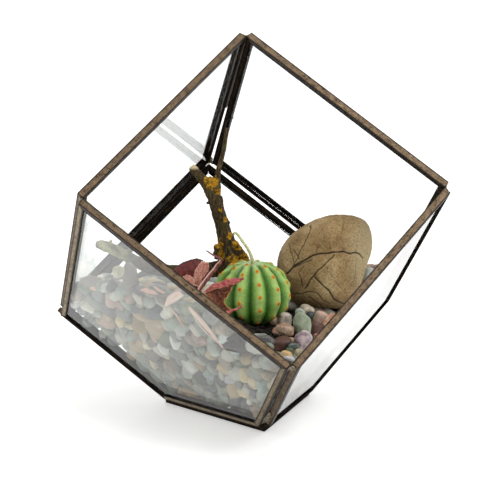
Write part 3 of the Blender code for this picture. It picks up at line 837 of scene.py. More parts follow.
def makeSoil(material):
    rng = random.Random(soil["seed"])
    tree, _ = treeOf(nodes["soil_bed"])
    bm = bmesh.new()
    speckLayer = bm.verts.layers.float.new("speck")
    disc = bmesh.ops.create_grid(bm, x_segments=44, y_segments=44, size=1.0)["verts"]
    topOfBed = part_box("soil_bed")[1].z + 0.01

    def heightAt(x, y):
        hit = tree.ray_cast(Vector((x, y, topOfBed)), Vector((0, 0, -1)))[0]
        return hit.z if hit is not None and hit.z > 0.056 else 0.0595

    for vert in disc:
        # a square grid is pulled round
        x, y = vert.co.x, vert.co.y
        roundX = x * math.sqrt(1 - y * y / 2)
        roundY = y * math.sqrt(1 - x * x / 2)
        spot = Vector(((soil["middle"][0] + roundX * soil["radii"][0]) * mm,
                       (soil["middle"][1] + roundY * soil["radii"][1]) * mm, 0.0))
        edge = math.hypot(roundX, roundY)
        clod = noise.fractal(spot * 330, 1.0, 2.0, 4)
        spot.z = heightAt(spot.x, spot.y) + 0.0011 * clod - 0.0015 * edge ** 6
        vert.co = spot
    base = bmesh.ops.extrude_face_region(bm, geom=bm.faces[:])["geom"]
    for item in base:
        if isinstance(item, bmesh.types.BMVert):
            item.co.z = 0.0535
    bmesh.ops.recalc_face_normals(bm, faces=bm.faces)
    for index in range(soil["crumbs"] + soil["specks"]):
        isSpeck = index >= soil["crumbs"]
        turn = rng.uniform(0, 2 * math.pi)
        reach = math.sqrt(rng.uniform(0.02, 1.1))
        x = (soil["middle"][0] + soil["radii"][0] * reach * math.cos(turn)) * mm
        y = (soil["middle"][1] + soil["radii"][1] * reach * math.sin(turn)) * mm
        size = rng.uniform(0.35, 0.75 if isSpeck else 1.25) * mm
        crumb = bmesh.new()
        layer = crumb.verts.layers.float.new("speck")
        for vert in bmesh.ops.create_icosphere(crumb, subdivisions=1, radius=size)["verts"]:
            vert.co *= rng.uniform(0.7, 1.25)
            vert.co += Vector((x, y, heightAt(x, y) + size * 0.3))
            vert[layer] = float(isSpeck)
        mesh = bpy.data.meshes.new("crumb")
        crumb.to_mesh(mesh)
        crumb.free()
        bm.from_mesh(mesh)
        bpy.data.meshes.remove(mesh)
    makePiece("soil_crumbs", bm, material, ["soil_bed"])


makeSoil(soilFinish())
print("soil made")


# the ball cactus: twelve ribs with rows of felt cushions, and a dry stalk on its crown

cactus = {
    "middle": (-8.3, -58.0, 80.5),
    "radius": 21.0,
    "halfHeight": 18.3,
    "ribs": 12,
    "grooveDepth": 0.145,
    "cushionSpacing": 23.5,   # degrees along a rib
    "cushionSize": 1.12,
    "scar": (-2.6, -75.0, 67.5),
    "seed": 3,
}


def cactusFinish():
    material, tree, shader = startMaterial("cactusSkin", roughness=0.42, specular=0.4)
    shader.inputs["Subsurface Weight"].default_value = 0.12
    shader.inputs["Subsurface Radius"].default_value = (0.4, 1.0, 0.2)
    shader.inputs["Subsurface Scale"].default_value = 0.002
    place = objectPlace(tree)
    crest = attributeOf(tree, "crest")
    ringed = attributeOf(tree, "nearCushion")
    cloud = noiseOf(tree, place, 170.0, 4.0)
    speckle = noiseOf(tree, place, 1900.0, 3.0, 0.65)
    # crests painted lighter and grooves darker: painted highlight on the crests, painted shade in the
    # grooves
    ribLightAndShade = mathOf(tree, "ADD", crest, mathOf(tree, "MULTIPLY", mathOf(tree, "SUBTRACT", cloud, 0.5),
                                              0.35))
    colour = rampOf(tree, ribLightAndShade, [(0.02, (0.026, 0.105, 0.008)), (0.30, (0.070, 0.200, 0.014)),
                                  (0.62, (0.150, 0.315, 0.032)), (0.95, (0.310, 0.470, 0.100))])
    # pale flecks only on the crests: painted highlight
    pale = mathOf(tree, "MULTIPLY", stepOf(tree, speckle, 0.50, 0.64),
                  mathOf(tree, "MULTIPLY", crest, 0.85))
    colour = mixOf(tree, pale, colour, (0.46, 0.58, 0.26))
    colour = mixOf(tree, mathOf(tree, "MULTIPLY", ringed, 0.75), colour, (0.40, 0.42, 0.09))
    # the crown is painted pale in flecks: painted highlight on the top
    crown = attributeOf(tree, "crown")
    crownHighlight = mathOf(tree, "MULTIPLY", crown, stepOf(tree, speckle, 0.36, 0.56))
    colour = mixOf(tree, crownHighlight, colour, (0.66, 0.72, 0.50))
    # darker in patches towards the bottom, and round the scar
    soiled = attributeOf(tree, "soiled")
    colour = mixOf(tree, mathOf(tree, "MULTIPLY", soiled, stepOf(tree, cloud, 0.35, 0.6)), colour,
                   (0.030, 0.026, 0.014))
    paint(tree, shader, colour)
    addBump(tree, shader, speckle, 0.18, 0.0004)
    return material


def cushionFinish():
    material, tree, shader = startMaterial("cushionFelt", roughness=0.85, specular=0.2)
    felt = noiseOf(tree, objectPlace(tree), 1500.0, 3.0)
    centre = attributeOf(tree, "centre")
    colour = rampOf(tree, felt, [(0.3, (0.30, 0.045, 0.008)), (0.6, (0.62, 0.13, 0.012))])
    colour = mixOf(tree, mathOf(tree, "SUBTRACT", 1.0, centre), colour, (0.56, 0.36, 0.05))
    paint(tree, shader, colour)
    addBump(tree, shader, felt, 0.7, 0.0004)
    return material


def cactusSurface(around, lift):
    # where the skin is, for a turn round the stem and a lift from the middle, both in radians
    outward = math.cos(lift)
    crest = abs(math.cos(cactus["ribs"] * around / 2)) ** 0.85
    edge = clamp(outward * 2.2)
    reach = cactus["radius"] * outward * (1 - cactus["grooveDepth"] * (1 - crest) * edge)
    high = cactus["halfHeight"] * math.sin(lift)
    if lift > 0:
        high -= 2.4 * math.exp(-(outward / 0.22) ** 2) + 1.0 * (1 - crest) * edge * math.sin(lift)
    else:
        high = max(high, -17.3)
    return Vector((reach * math.cos(around), reach * math.sin(around), high)), crest


def cushionLifts():
    rng = random.Random(cactus["seed"])
    lifts = {}
    for rib in range(cactus["ribs"]):
        start = 62 - (rib % 2) * cactus["cushionSpacing"] / 2 + rng.uniform(-4, 4)
        rows = [start - step * cactus["cushionSpacing"] + rng.uniform(-2, 2) for step in range(6)]
        lifts[rib] = [math.radians(row) for row in rows if row > -52]
    return lifts


def makeCactus():
    lifts = cushionLifts()
    middle = Vector(cactus["middle"])
    bm = bmesh.new()
    layers = {name: bm.verts.layers.float.new(name)
              for name in ("crest", "nearCushion", "crown", "soiled")}
    made = bmesh.ops.create_uvsphere(bm, u_segments=20 * cactus["ribs"], v_segments=84,
                                     radius=1.0)["verts"]
    for vert in made:
        around = math.atan2(vert.co.y, vert.co.x)
        lift = math.asin(clamp(vert.co.z, -1.0, 1.0))
        spot, crest = cactusSurface(around, lift)
        rib = round(around / (2 * math.pi / cactus["ribs"]))
        fromCrest = around - rib * 2 * math.pi / cactus["ribs"]
        nearest = min(lifts[rib % cactus["ribs"]], key=lambda row: abs(row - lift))
        across = fromCrest * math.cos(lift) * cactus["radius"]
        away = math.hypot(across, (lift - nearest) * cactus["halfHeight"])
        outward = Vector((spot.x, spot.y, spot.z * 1.2)).normalized()
        swell = 0.95 * math.exp(-(away / 2.7) ** 2) - 0.55 * math.exp(-(away / 0.9) ** 2)
        rough = 0.35 * noise.noise(spot * 0.22) + 0.16 * noise.noise(spot * 0.9)
        vert.co = (middle + spot + outward * (swell + rough)) * mm
        vert[layers["crest"]] = crest ** 1.6
        vert[layers["nearCushion"]] = math.exp(-(away / 1.25) ** 2)
        vert[layers["crown"]] = math.exp(-(math.cos(lift) / 0.30) ** 2) if lift > 0 else 0.0
        # the lower part and the scar are darkened
        scar = math.exp(-((middle + spot - Vector(cactus["scar"])).length / 2.3) ** 2)
        vert[layers["soiled"]] = max(easeBetween(-0.45, -1.0, lift), 1.6 * scar)
    makePiece("cactus_skin", bm, cactusFinish(), ["cactus_body"])

    group = bmesh.new()
    for rib, rows in lifts.items():
        around = rib * 2 * math.pi / cactus["ribs"]
        for lift in rows:
            spot, _ = cactusSurface(around, lift)
            outward = Vector((spot.x, spot.y, spot.z * 1.2)).normalized()
            facing = outward.to_track_quat("Z", "Y").to_matrix()
            cushion = bmesh.new()
            centre = cushion.verts.layers.float.new("centre")
            bmesh.ops.create_uvsphere(cushion, u_segments=10, v_segments=6, radius=1.0)
            for vert in cushion.verts:
                vert[centre] = easeBetween(0.95, 0.35, vert.co.xy.length)
                flat = Vector((vert.co.x, vert.co.y * 1.25, vert.co.z * 0.5))
                vert.co = (middle + spot + outward * 0.55
                           + facing @ flat * cactus["cushionSize"]) * mm
            mesh = bpy.data.meshes.new("cushion")
            cushion.to_mesh(mesh)
            cushion.free()
            group.from_mesh(mesh)
            bpy.data.meshes.remove(mesh)
    makePiece("cactus_cushions", group, cushionFinish())


def stalkFinish():
    material, tree, shader = startMaterial("dryStalk", roughness=0.55)
    place = objectPlace(tree)
    streak = noiseOf(tree, place, 900.0, 4.0)
    colour = rampOf(tree, streak, [(0.3, (0.26, 0.27, 0.09)), (0.5, (0.50, 0.52, 0.26)),
                                   (0.7, (0.72, 0.72, 0.48))])
    tip = attributeOf(tree, "tip")
    colour = mixOf(tree, tip, colour, (0.10, 0.085, 0.03))
    paint(tree, shader, colour)
    addBump(tree, shader, streak, 0.5, 0.0004)
    return material


def makeStalk():
    bm = bmesh.new()
    tip = bm.verts.layers.float.new("tip")
    growTube(bm, [(-7.6, -58, 96.5, 1.3), (-8.6, -58, 101.0, 0.95), (-10.4, -58, 105.0, 0.85),
                  (-13, -58, 108.9, 0.8), (-16.1, -58, 113.3, 0.75), (-17.4, -58, 114.3, 0.75),
                  (-18.6, -58, 113.5, 0.6), (-18.9, -58, 112.9, 0.45)], sides=12, steps=8)
    for vert in bm.verts:
        vert[tip] = easeBetween(-17.9, -18.8, vert.co.x / mm)
        vert.co += 0.00012 * noise.noise_vector(vert.co * 600)
    bmesh.ops.recalc_face_normals(bm, faces=bm.faces)
    makePiece("dry_stalk", bm, stalkFinish(), ["cactus_stalk"])


makeCactus()
makeStalk()
print("cactus made")


# the boulder: a water-worn dome with hairline cracks

boulder = {
    "middle": (43.0, -22.0, 90.0),
    "halfDepth": 22.5,
    # the outline seen from the front, x and z
    "outline": ((72.0, 100.5), (66.3, 112.0), (52.0, 116.7), (38.5, 114.7), (26.0, 108.0),
                (14.8, 90.5), (18.0, 76.0), (24.0, 66.0), (40.0, 63.4), (54.0, 64.0),
                (59.0, 73.0), (65.2, 87.0)),
    # cracks, x and z on the front, with width and depth
    "cracks": (
        (((16.8, 85.8), (20.0, 89.8), (21.4, 91.0), (25.3, 93.8), (30.5, 97.0), (36.4, 98.7),
          (41.7, 99.2), (47.6, 99.1), (50.9, 98.1), (54.8, 97.9), (58.1, 96.9), (61.0, 93.6)),
         0.42, 0.75),
        (((20.0, 89.4), (25.3, 92.6), (29.9, 94.6)), 0.34, 0.40),
        (((41.7, 97.6), (35.8, 92.3), (31.2, 87.7), (27.9, 83.1), (25.9, 77.9)), 0.36, 0.55),
        (((36.4, 92.0), (40.4, 85.8), (45.0, 79.2), (48.9, 75.6), (52.2, 74.9)), 0.28, 0.36),
        (((30.5, 85.1), (35.1, 80.5), (39.1, 77.2), (42.3, 72.0), (46.9, 68.7), (50.9, 67.7)),
         0.40, 0.68),
        (((51.5, 117.9), (48.9, 112.0), (46.3, 106.1)), 0.28, 0.36),
        (((34.5, 115.3), (29.2, 107.4), (25.3, 100.2), (22.7, 95.6), (20.0, 89.7)), 0.28, 0.40),
        (((19.4, 104.1), (19.7, 98.2), (20.4, 92.3)), 0.26, 0.40),
        (((21.4, 99.5), (23.0, 94.3)), 0.28, 0.45),
        (((40.4, 85.1), (35.8, 81.8)), 0.26, 0.30),
        (((33.8, 102.2), (31.8, 98.9)), 0.30, 0.36),
        (((54.8, 96.9), (54.8, 91.0), (53.8, 81.8), (54.1, 72.6)), 0.30, 0.30),
        (((25.3, 91.0), (22.7, 87.1), (24.6, 79.2)), 0.32, 0.36),
        (((21.4, 74.0), (27.9, 76.6), (31.9, 75.9), (35.1, 72.0), (40.4, 68.7)), 0.34, 0.42),
        (((27.9, 73.3), (34.5, 68.7), (37.1, 66.7)), 0.34, 0.45),
    ),
}


def outlineReach(turn):
    # distance to the outline from the middle, smooth between the outline's points
    rows = []
    for x, z in boulder["outline"]:
        across, up = x - boulder["middle"][0], z - boulder["middle"][2]
        rows.append((math.atan2(up, across) % (2 * math.pi), math.hypot(across, up)))
    rows.sort()
    count = len(rows)
    turn %= 2 * math.pi
    for i in range(count):
        start, end = rows[i], rows[(i + 1) % count]
        span = (end[0] - start[0]) % (2 * math.pi)
        past = (turn - start[0]) % (2 * math.pi)
        if past <= span:
            before, after = rows[i - 1][1], rows[(i + 2) % count][1]
            t = past / span
            return 0.5 * (2 * start[1] + (end[1] - before) * t
                          + (2 * before - 5 * start[1] + 4 * end[1] - after) * t ** 2
                          + (3 * start[1] - before - 3 * end[1] + after) * t ** 3)
    return rows[0][1]


def crackFields(points):
    # for each point, how deep a crack cuts in there and how dark its painted shade is
    cut = np.zeros(len(points))
    dark = np.zeros(len(points))
    for line, width, depth in boulder["cracks"]:
        nearest = np.full(len(points), 1e9)
        for start, end in zip(line, line[1:]):
            start, run = np.array(start), np.array(end) - np.array(start)
            share = np.clip(((points - start) @ run) / (run @ run), 0, 1)
            away = np.linalg.norm(points - start - share[:, None] * run, axis=1)
            nearest = np.minimum(nearest, away)
        cut = np.maximum(cut, depth * np.exp(-(nearest / width) ** 2))
        dark = np.maximum(dark, min(1.0, depth / 0.6) * np.exp(-(nearest / (width * 1.1)) ** 2))
    return cut, dark


def makeBoulder(material):
    bm = bmesh.new()
    crack = bm.verts.layers.float.new("crack")
    facet = bm.verts.layers.float.new("facet")
    deep = bm.verts.layers.float.new("deep")
    made = bmesh.ops.create_icosphere(bm, subdivisions=7, radius=1.0)["verts"]
    middle = Vector(boulder["middle"])
    flats = ((Vector((0.80, -0.55, 0.05)).normalized(), 20.5),
             (Vector((-0.55, -0.75, 0.35)).normalized(), 21.5),
             (Vector((0.25, -0.85, 0.45)).normalized(), 22.6),
             (Vector((0.30, 0.93, 0.2)).normalized(), 20.5))
    spots, shifts = [], []
    for vert in made:
        unit = vert.co.copy()
        share = math.hypot(unit.x, unit.z)
        reach = outlineReach(math.atan2(unit.z, unit.x)) * share ** 0.82
        turn = math.atan2(unit.z, unit.x)
        spot = Vector((math.cos(turn) * reach,
                       math.copysign(abs(unit.y) ** 0.86, unit.y) * boulder["halfDepth"],
                       math.sin(turn) * reach))
        flatness = 0.0
        for index, (way, limit) in enumerate(flats):
            over = spot.dot(way) - limit
            if over > 0:
                spot -= way * over * 0.80
            if index == 0:
                # the first flat, facing front right, gets the painted light
                flatness = easeBetween(-6.0, 4.0, over)
        wobble = 0.5 * noise.noise(spot * 0.09) + 0.22 * noise.fractal(spot * 0.35, 1.0, 2.0, 4)
        spot += spot.normalized() * wobble
        # the line of a crack wanders a little
        drift = 0.5 * noise.noise_vector(spot * 0.25)
        spots.append((middle.x + spot.x + drift.x, middle.z + spot.z + drift.z))
        shifts.append(spot)
        vert[facet] = flatness
        # the lower part is painted darker: painted shade where the boulder meets the gravel
        vert[deep] = easeBetween(78.0, 66.0, middle.z + spot.z + 0.12 * (middle.x + spot.x - 30.0))
    cut, dark = crackFields(np.array(spots))
    for vert, spot, cutHere, darkHere in zip(made, shifts, cut, dark):
        if spot.y < -2:
            spot = spot - spot.normalized() * cutHere
            vert[crack] = darkHere
        vert.co = (middle + spot) * mm
    makePiece("dome_boulder", bm, material, ["dome_stone"])


def boulderFinish():
    material, tree, shader = startMaterial("crackedSandstone", roughness=0.82, specular=0.3)
    place = objectPlace(tree)
    cloud = noiseOf(tree, place, 55.0, 5.0, 0.6)
    stain = noiseOf(tree, place, 120.0, 6.0, 0.65, seed=4.0)
    grain = noiseOf(tree, place, 900.0, 4.0, 0.7)
    fleck = noiseOf(tree, place, 420.0, 3.0, 0.6, seed=9.0)
    colour = rampOf(tree, cloud, [(0.30, (0.190, 0.112, 0.045)), (0.48, (0.310, 0.205, 0.090)),
                                  (0.62, (0.400, 0.285, 0.138)), (0.75, (0.46, 0.36, 0.20))])
    rust = stepOf(tree, stain, 0.54, 0.66)
    colour = mixOf(tree, mathOf(tree, "MULTIPLY", rust, 0.5), colour, (0.225, 0.105, 0.032))
    # the front-right facet is painted paler: painted light on the side the light falls on
    facet = attributeOf(tree, "facet")
    colour = mixOf(tree, mathOf(tree, "MULTIPLY", facet, 0.55), colour, (0.40, 0.33, 0.19))
    # painted shade towards the bottom
    deep = mathOf(tree, "MULTIPLY", attributeOf(tree, "deep"), 0.72)
    colour = mixOf(tree, deep, colour, (0.085, 0.050, 0.020))
    spots = rampOf(tree, grain, [(0.30, (0.36, 0.33, 0.30)), (0.46, (0.92, 0.91, 0.90)),
                                 (0.56, (1.04, 1.03, 1.02)), (0.70, (1.42, 1.38, 1.25))])
    colour = mixOf(tree, 1.0, colour, spots, "MULTIPLY")
    pits = stepOf(tree, fleck, 0.34, 0.28)
    colour = mixOf(tree, mathOf(tree, "MULTIPLY", pits, 0.6), colour, (0.07, 0.045, 0.022))
    # thin layers of the sandstone, seen as faint slanting lines
    tilted = addNode(tree, "ShaderNodeMapping", {"Vector": place, "Rotation": (0.1, 0.9, 0.0)})
    layers = addNode(tree, "ShaderNodeTexWave", {
        "Vector": tilted.outputs[0], "Scale": 90.0, "Distortion": 5.0, "Detail": 3.0,
        "Detail Scale": 2.0}).outputs["Fac"]
    lined = mathOf(tree, "MULTIPLY", stepOf(tree, layers, 0.16, 0.04),
                   mathOf(tree, "MULTIPLY", stepOf(tree, stain, 0.48, 0.60), 0.30))
    colour = mixOf(tree, lined, colour, (0.13, 0.085, 0.04))
    # the cracks are painted near black: painted shade inside them
    crack = stepOf(tree, attributeOf(tree, "crack"), 0.15, 0.75)
    colour = mixOf(tree, mathOf(tree, "MULTIPLY", crack, 0.94), colour, (0.022, 0.016, 0.011))
    paint(tree, shader, colour)
    height = mathOf(tree, "ADD", mathOf(tree, "MULTIPLY", stain, 0.6),
                    mathOf(tree, "MULTIPLY", grain, 0.4))
    addBump(tree, shader, height, 0.5, 0.0012)
    return material


makeBoulder(boulderFinish())
print("boulder made")


# the twig: a forked trunk with a limb lying to the left, under bark and lichen

twig = {
    "voxel": 0.48,
    "limbs": {
        "trunk": ((-9, -7, 76, 6.2), (-9.8, -6, 88, 6.6), (-11.4, -5, 97.1, 5.5),
                  (-14.4, -5, 109.3, 4.2), (-17.6, -7, 119.4, 4.0), (-19.3, -8, 127, 4.4)),
        "flare": ((-12.5, -6, 104, 2.2), (-9.5, -8, 100.5, 2.8), (-6.0, -9, 96, 2.8),
                  (-2.4, -10, 91.5, 2.2), (-0.5, -10.5, 88, 1.8)),
        "leftFlare": ((-14, -5, 101, 2.2), (-16.5, -6, 96.5, 2.6), (-17.6, -7, 91, 2.4)),
        "leftArm": ((-18.4, -7.6, 123, 3.5), (-24.7, -9, 135, 3.0), (-29, -10, 140.5, 2.6),
                    (-33.2, -11, 145.4, 2.2)),
        "leftStub": ((-27, -9.6, 138, 1.9), (-31.2, -10.4, 144.8, 1.5)),
        "rightArm": ((-19, -8, 125.5, 3.3), (-18.2, -9, 136.5, 1.9), (-17.3, -9, 143.8, 1.6),
                     (-14.8, -10, 153.2, 1.3), (-12.6, -11, 166.9, 1.25)),
        "curl": ((-13.2, -11, 163.5, 0.6), (-13.9, -11, 168.3, 0.5), (-12.6, -11, 170.8, 0.5),
                 (-10.6, -11, 172.2, 0.45), (-8.4, -11, 172.9, 0.4)),
        "lyingLimb": ((-10, -5, 87, 5.0), (-21, -3, 84.5, 4.6), (-34.2, -3, 84, 4.1),
                      (-49.2, -4, 85.5, 3.7), (-61.9, -6, 90, 3.5), (-75, -9, 97.9, 3.3),
                      (-83.3, -11, 102, 3.0), (-88, -12, 103.4, 2.2)),
        "spurRight": ((-18, -8, 127.5, 1.2), (-16.3, -8, 124.6, 1.0), (-15.0, -8.2, 122.9, 0.5)),
        "spurLeft": ((-21, -8, 124.6, 1.0), (-23.4, -8.4, 124.4, 0.7), (-24.8, -8.6, 124.0, 0.4)),
        "knobRight": ((-12.5, -6, 113, 1.5), (-10.6, -7, 112.2, 1.0)),
        "knobLow": ((-11.0, -7, 104.5, 1.4), (-8.6, -8, 104.2, 0.9)),
        "thorn": ((-70, -9.5, 96.5, 1.6), (-68.6, -10, 100.2, 1.1), (-68.0, -10, 102, 0.5)),
        "thornEnd": ((-80, -10, 101.5, 1.4), (-79.4, -11, 105.6, 0.6)),
    },
    # lichen: place and how far it spreads
    "lichen": (((-22.0, -9.5, 136.2), 5.2), ((-18.0, -8.5, 131.0), 3.6), ((-18.6, -7.5, 99.5), 4.6),
               ((-16.0, -8.0, 93.0), 3.6), ((-7.5, -9.5, 99.5), 3.6), ((-2.5, -10.5, 92.5), 4.2),
               ((-9.0, -9.5, 91.0), 4.2), ((-11.5, -8.0, 104.5), 2.6), ((-17.2, -9.5, 121.0), 2.4),
               ((-13.5, -9.0, 114.5), 2.2)),
    "lichenLumps": ((-22.3, -9.6, 136.6, 2.9), (-20.6, -10.2, 134.4, 2.4), (-23.2, -10.2, 133.9, 2.0),
                    (-18.8, -9.6, 98.6, 2.1), (-19.2, -8.9, 95.2, 1.9), (-2.6, -11.6, 93.4, 1.7),
                    (-7.6, -10.8, 99.6, 1.6)),
}


def barkFinish():
    material, tree, shader = startMaterial("lichenBark", roughness=0.88, specular=0.2)
    place = objectPlace(tree)
    stretched = addNode(tree, "ShaderNodeMapping", {"Vector": place, "Scale": (1.0, 1.0, 0.35)})
    fibre = noiseOf(tree, stretched.outputs[0], 1000.0, 5.0, 0.65)
    cloud = noiseOf(tree, place, 240.0, 5.0, 0.6)
    colour = rampOf(tree, fibre, [(0.30, (0.012, 0.008, 0.004)), (0.48, (0.052, 0.034, 0.014)),
                                  (0.62, (0.115, 0.080, 0.036)), (0.76, (0.21, 0.165, 0.09))])
    olive = stepOf(tree, cloud, 0.50, 0.66)
    colour = mixOf(tree, mathOf(tree, "MULTIPLY", olive, 0.5), colour, (0.085, 0.075, 0.022))
    crust = rampOf(tree, noiseOf(tree, place, 700.0, 4.0, 0.6),
                   [(0.32, (0.10, 0.045, 0.004)), (0.50, (0.36, 0.175, 0.008)),
                    (0.66, (0.58, 0.33, 0.020)), (0.80, (0.66, 0.50, 0.12))])
    lichen = attributeOf(tree, "lichen")
    patchy = stepOf(tree, mathOf(tree, "ADD", lichen, mathOf(tree, "MULTIPLY", mathOf(
        tree, "SUBTRACT", noiseOf(tree, place, 520.0, 3.0), 0.5), 1.5)), 0.42, 0.58)
    colour = mixOf(tree, patchy, colour, crust)
    pale = rampOf(tree, cloud, [(0.35, (0.10, 0.11, 0.045)), (0.55, (0.24, 0.24, 0.10)),
                                (0.72, (0.40, 0.37, 0.18))])
    mossy = mathOf(tree, "MULTIPLY", attributeOf(tree, "mossy"), stepOf(tree, cloud, 0.34, 0.52))
    colour = mixOf(tree, mossy, colour, pale)
    colour = mixOf(tree, attributeOf(tree, "cut"), colour, (0.62, 0.50, 0.30))
    colour = mixOf(tree, attributeOf(tree, "charred"), colour, (0.010, 0.008, 0.007))
    paint(tree, shader, colour)
    addBump(tree, shader, mathOf(tree, "ADD", fibre, cloud), 0.7, 0.0010)
    return material


def makeTwig(material):
    rough = bmesh.new()
    for points in twig["limbs"].values():
        limb = bmesh.new()
        growTube(limb, points, sides=14, steps=8)
        bmesh.ops.recalc_face_normals(limb, faces=limb.faces)
        mesh = bpy.data.meshes.new("limb")
        limb.to_mesh(mesh)
        limb.free()
        rough.from_mesh(mesh)
        bpy.data.meshes.remove(mesh)
    for x, y, z, radius in twig["lichenLumps"]:
        bmesh.ops.create_icosphere(rough, subdivisions=3, radius=radius * mm,
                                   matrix=Matrix.Translation(Vector((x, y, z)) * mm))
    bm = voxelBlend(rough, twig["voxel"])
    bmesh.ops.smooth_vert(bm, verts=bm.verts, factor=0.5, use_axis_x=True, use_axis_y=True,
                          use_axis_z=True)
    bm.normal_update()
    layers = {name: bm.verts.layers.float.new(name) for name in ("lichen", "mossy", "cut", "charred")}
    moves = []
    for vert in bm.verts:
        spot = vert.co / mm
        lichen = max(math.exp(-((spot - Vector(centre)).length / spread) ** 2)
                     for centre, spread in twig["lichen"])
        crusty = noise.noise(spot * 0.55) + 0.5 * noise.noise(spot * 1.3)
        flakes = noise.noise(Vector((spot.x, spot.y, spot.z * 0.35)) * 0.9)
        ridge = abs(noise.noise(Vector((spot.x, spot.y, spot.z * 0.22)) * 0.7))
        thin = 0.35 if spot.z > 140 else 1.0
        moves.append(vert.normal * (0.42 * flakes - 0.40 * ridge + 0.7 * lichen * max(0.0, crusty)
                                    + 0.25 * noise.noise(spot * 1.9)) * thin * mm)
        vert[layers["lichen"]] = lichen
        vert[layers["mossy"]] = easeBetween(-60, -78, spot.x)
        leftTip = spot.z > 142.6 and spot.x < -29
        vert[layers["cut"]] = float(leftTip) * easeBetween(143.6, 145.4, spot.z)
        vert[layers["charred"]] = easeBetween(166.6, 168.2, spot.z)
    for vert, move in zip(bm.verts, moves):
        vert.co += move
    makePiece("lichen_twig", bm, material, ["driftwood"])


makeTwig(barkFinish())
print("twig made")


# dried leaves: thin sheets stretched between two edges, then curled and crumpled

def leafFinish(name, stops, veinColour, edgeColour, veinShare, roughness=0.6):
    material, tree, shader = startMaterial(name, roughness=roughness, specular=0.35)
    place = objectPlace(tree)
    along = addNode(tree, "ShaderNodeUVMap", uv_map="leaf").outputs["UV"]
    parts = addNode(tree, "ShaderNodeSeparateXYZ", {"Vector": along}).outputs
    mottle = noiseOf(tree, place, 420.0, 5.0, 0.65)
    fine = noiseOf(tree, place, 1900.0, 3.0, 0.6)
    colour = rampOf(tree, mottle, stops)
    across = mathOf(tree, "ABSOLUTE", mathOf(tree, "SUBTRACT", parts["Y"], 0.5))
    warped = mathOf(tree, "ADD", mathOf(tree, "MULTIPLY", across, 3.0),
                    mathOf(tree, "MULTIPLY", mottle, 0.35))
    slanted = mathOf(tree, "SUBTRACT", mathOf(tree, "MULTIPLY", parts["X"], 9.0), warped)
    ribbed = mathOf(tree, "ABSOLUTE", mathOf(tree, "SUBTRACT", mathOf(tree, "FRACT", slanted), 0.5))
    veins = mathOf(tree, "MAXIMUM", stepOf(tree, ribbed, 0.09, 0.03), stepOf(tree, across, 0.035, 0.012))
    colour = mixOf(tree, mathOf(tree, "MULTIPLY", veins, veinShare), colour, veinColour)
    grain = rampOf(tree, fine, [(0.34, (0.60, 0.58, 0.56)), (0.52, (1.0, 1.0, 1.0)),
                                (0.70, (1.25, 1.22, 1.2))])
    colour = mixOf(tree, 1.0, colour, grain, "MULTIPLY")
    edge = attributeOf(tree, "edge")
    colour = mixOf(tree, edge, colour, edgeColour)
    paint(tree, shader, colour)
    addBump(tree, shader, mathOf(tree, "ADD", mottle, mathOf(tree, "MULTIPLY", veins, 0.6)),
            0.6, 0.0006)
    return material


def edgePoint(points, share):
    # a smooth place along an edge given by a few points
    count = len(points) - 1
    index = min(int(share * count), count - 1)
    t = share * count - index
    start, end = Vector(points[index]), Vector(points[index + 1])
    before = Vector(points[index - 1]) if index else 2 * start - end
    after = Vector(points[index + 2]) if index + 2 <= count else 2 * end - start
    return 0.5 * (2 * start + (end - before) * t
                  + (2 * before - 5 * start + 4 * end - after) * t ** 2
                  + (3 * start - before - 3 * end + after) * t ** 3)


leaves = {
    "broad": {
        "edges": (((-50.3, -55, 92.0), (-45.1, -55, 87.8), (-40.1, -55.5, 84.5), (-35, -56, 82.6)),
                  ((-50.6, -51, 94.2), (-44.2, -49.5, 97.9), (-36.6, -49, 99.3), (-29.4, -50, 95.2))),
        "bulge": 2.6, "crumple": 0.5, "ragged": 0.6, "dark": "end", "seed": 1,
    },
    "narrow": {
        "edges": (((-40.7, -63, 87.0), (-41.6, -62.4, 91.3), (-39.6, -61.6, 96.3), (-36.4, -61, 100)),
                  ((-38.6, -63, 86.5), (-36.4, -62.8, 90.6), (-33.0, -62, 95.5), (-32.8, -61, 99.2))),
        "bulge": 0.9, "crumple": 0.35, "ragged": 1.2, "dark": "", "seed": 2,
    },
    "tongue": {
        "edges": (((-43.6, -66, 87.2), (-46.9, -65.6, 90.2), (-48.2, -65, 92.6)),
                  ((-41.4, -66.4, 88.3), (-42.6, -66, 92.0), (-45.4, -65.4, 93.9))),
        "bulge": 0.7, "crumple": 0.3, "ragged": 0.8, "dark": "", "seed": 3,
    },
    "crumpled": {
        "edges": (((-41.1, -87.4, 87.6), (-39.2, -89, 85.2), (-36.3, -90, 81.2), (-33.1, -89.6, 77.8),
                   (-29.4, -88, 74.8)),
                  ((-18.6, -84, 93.2), (-23.6, -82.6, 89.8), (-25.2, -84, 86.2), (-29.2, -86, 82.6),
                   (-24.4, -84.6, 77.6))),
        "bulge": -2.4, "crumple": 1.3, "ragged": 1.6, "dark": "", "seed": 4,
    },
    "topFold": {
        "edges": (((-40.6, -88, 87.6), (-34.9, -87.0, 89.0), (-28.1, -86.2, 90.6), (-20.6, -84.4, 92.2),
                   (-17.6, -84.0, 93.3)),
                  ((-40.0, -86.4, 88.0), (-34.9, -85.0, 91.6), (-28.1, -84.2, 93.6), (-21.0, -83.6, 94.4),
                   (-17.4, -83.8, 93.7))),
        "bulge": 1.2, "crumple": 0.7, "ragged": 1.1, "dark": "", "seed": 5,
    },
    "lowerTip": {
        "edges": (((-31.0, -88, 76.6), (-26.8, -85.6, 77.2), (-22.4, -82.6, 77.6), (-18.4, -81, 78.6)),
                  ((-29.0, -88, 74.4), (-25.6, -85.4, 75.6), (-21.6, -82.4, 76.9), (-18.0, -81, 77.6))),
        "bulge": 0.8, "crumple": 0.6, "ragged": 0.9, "dark": "", "seed": 6,
    },
}


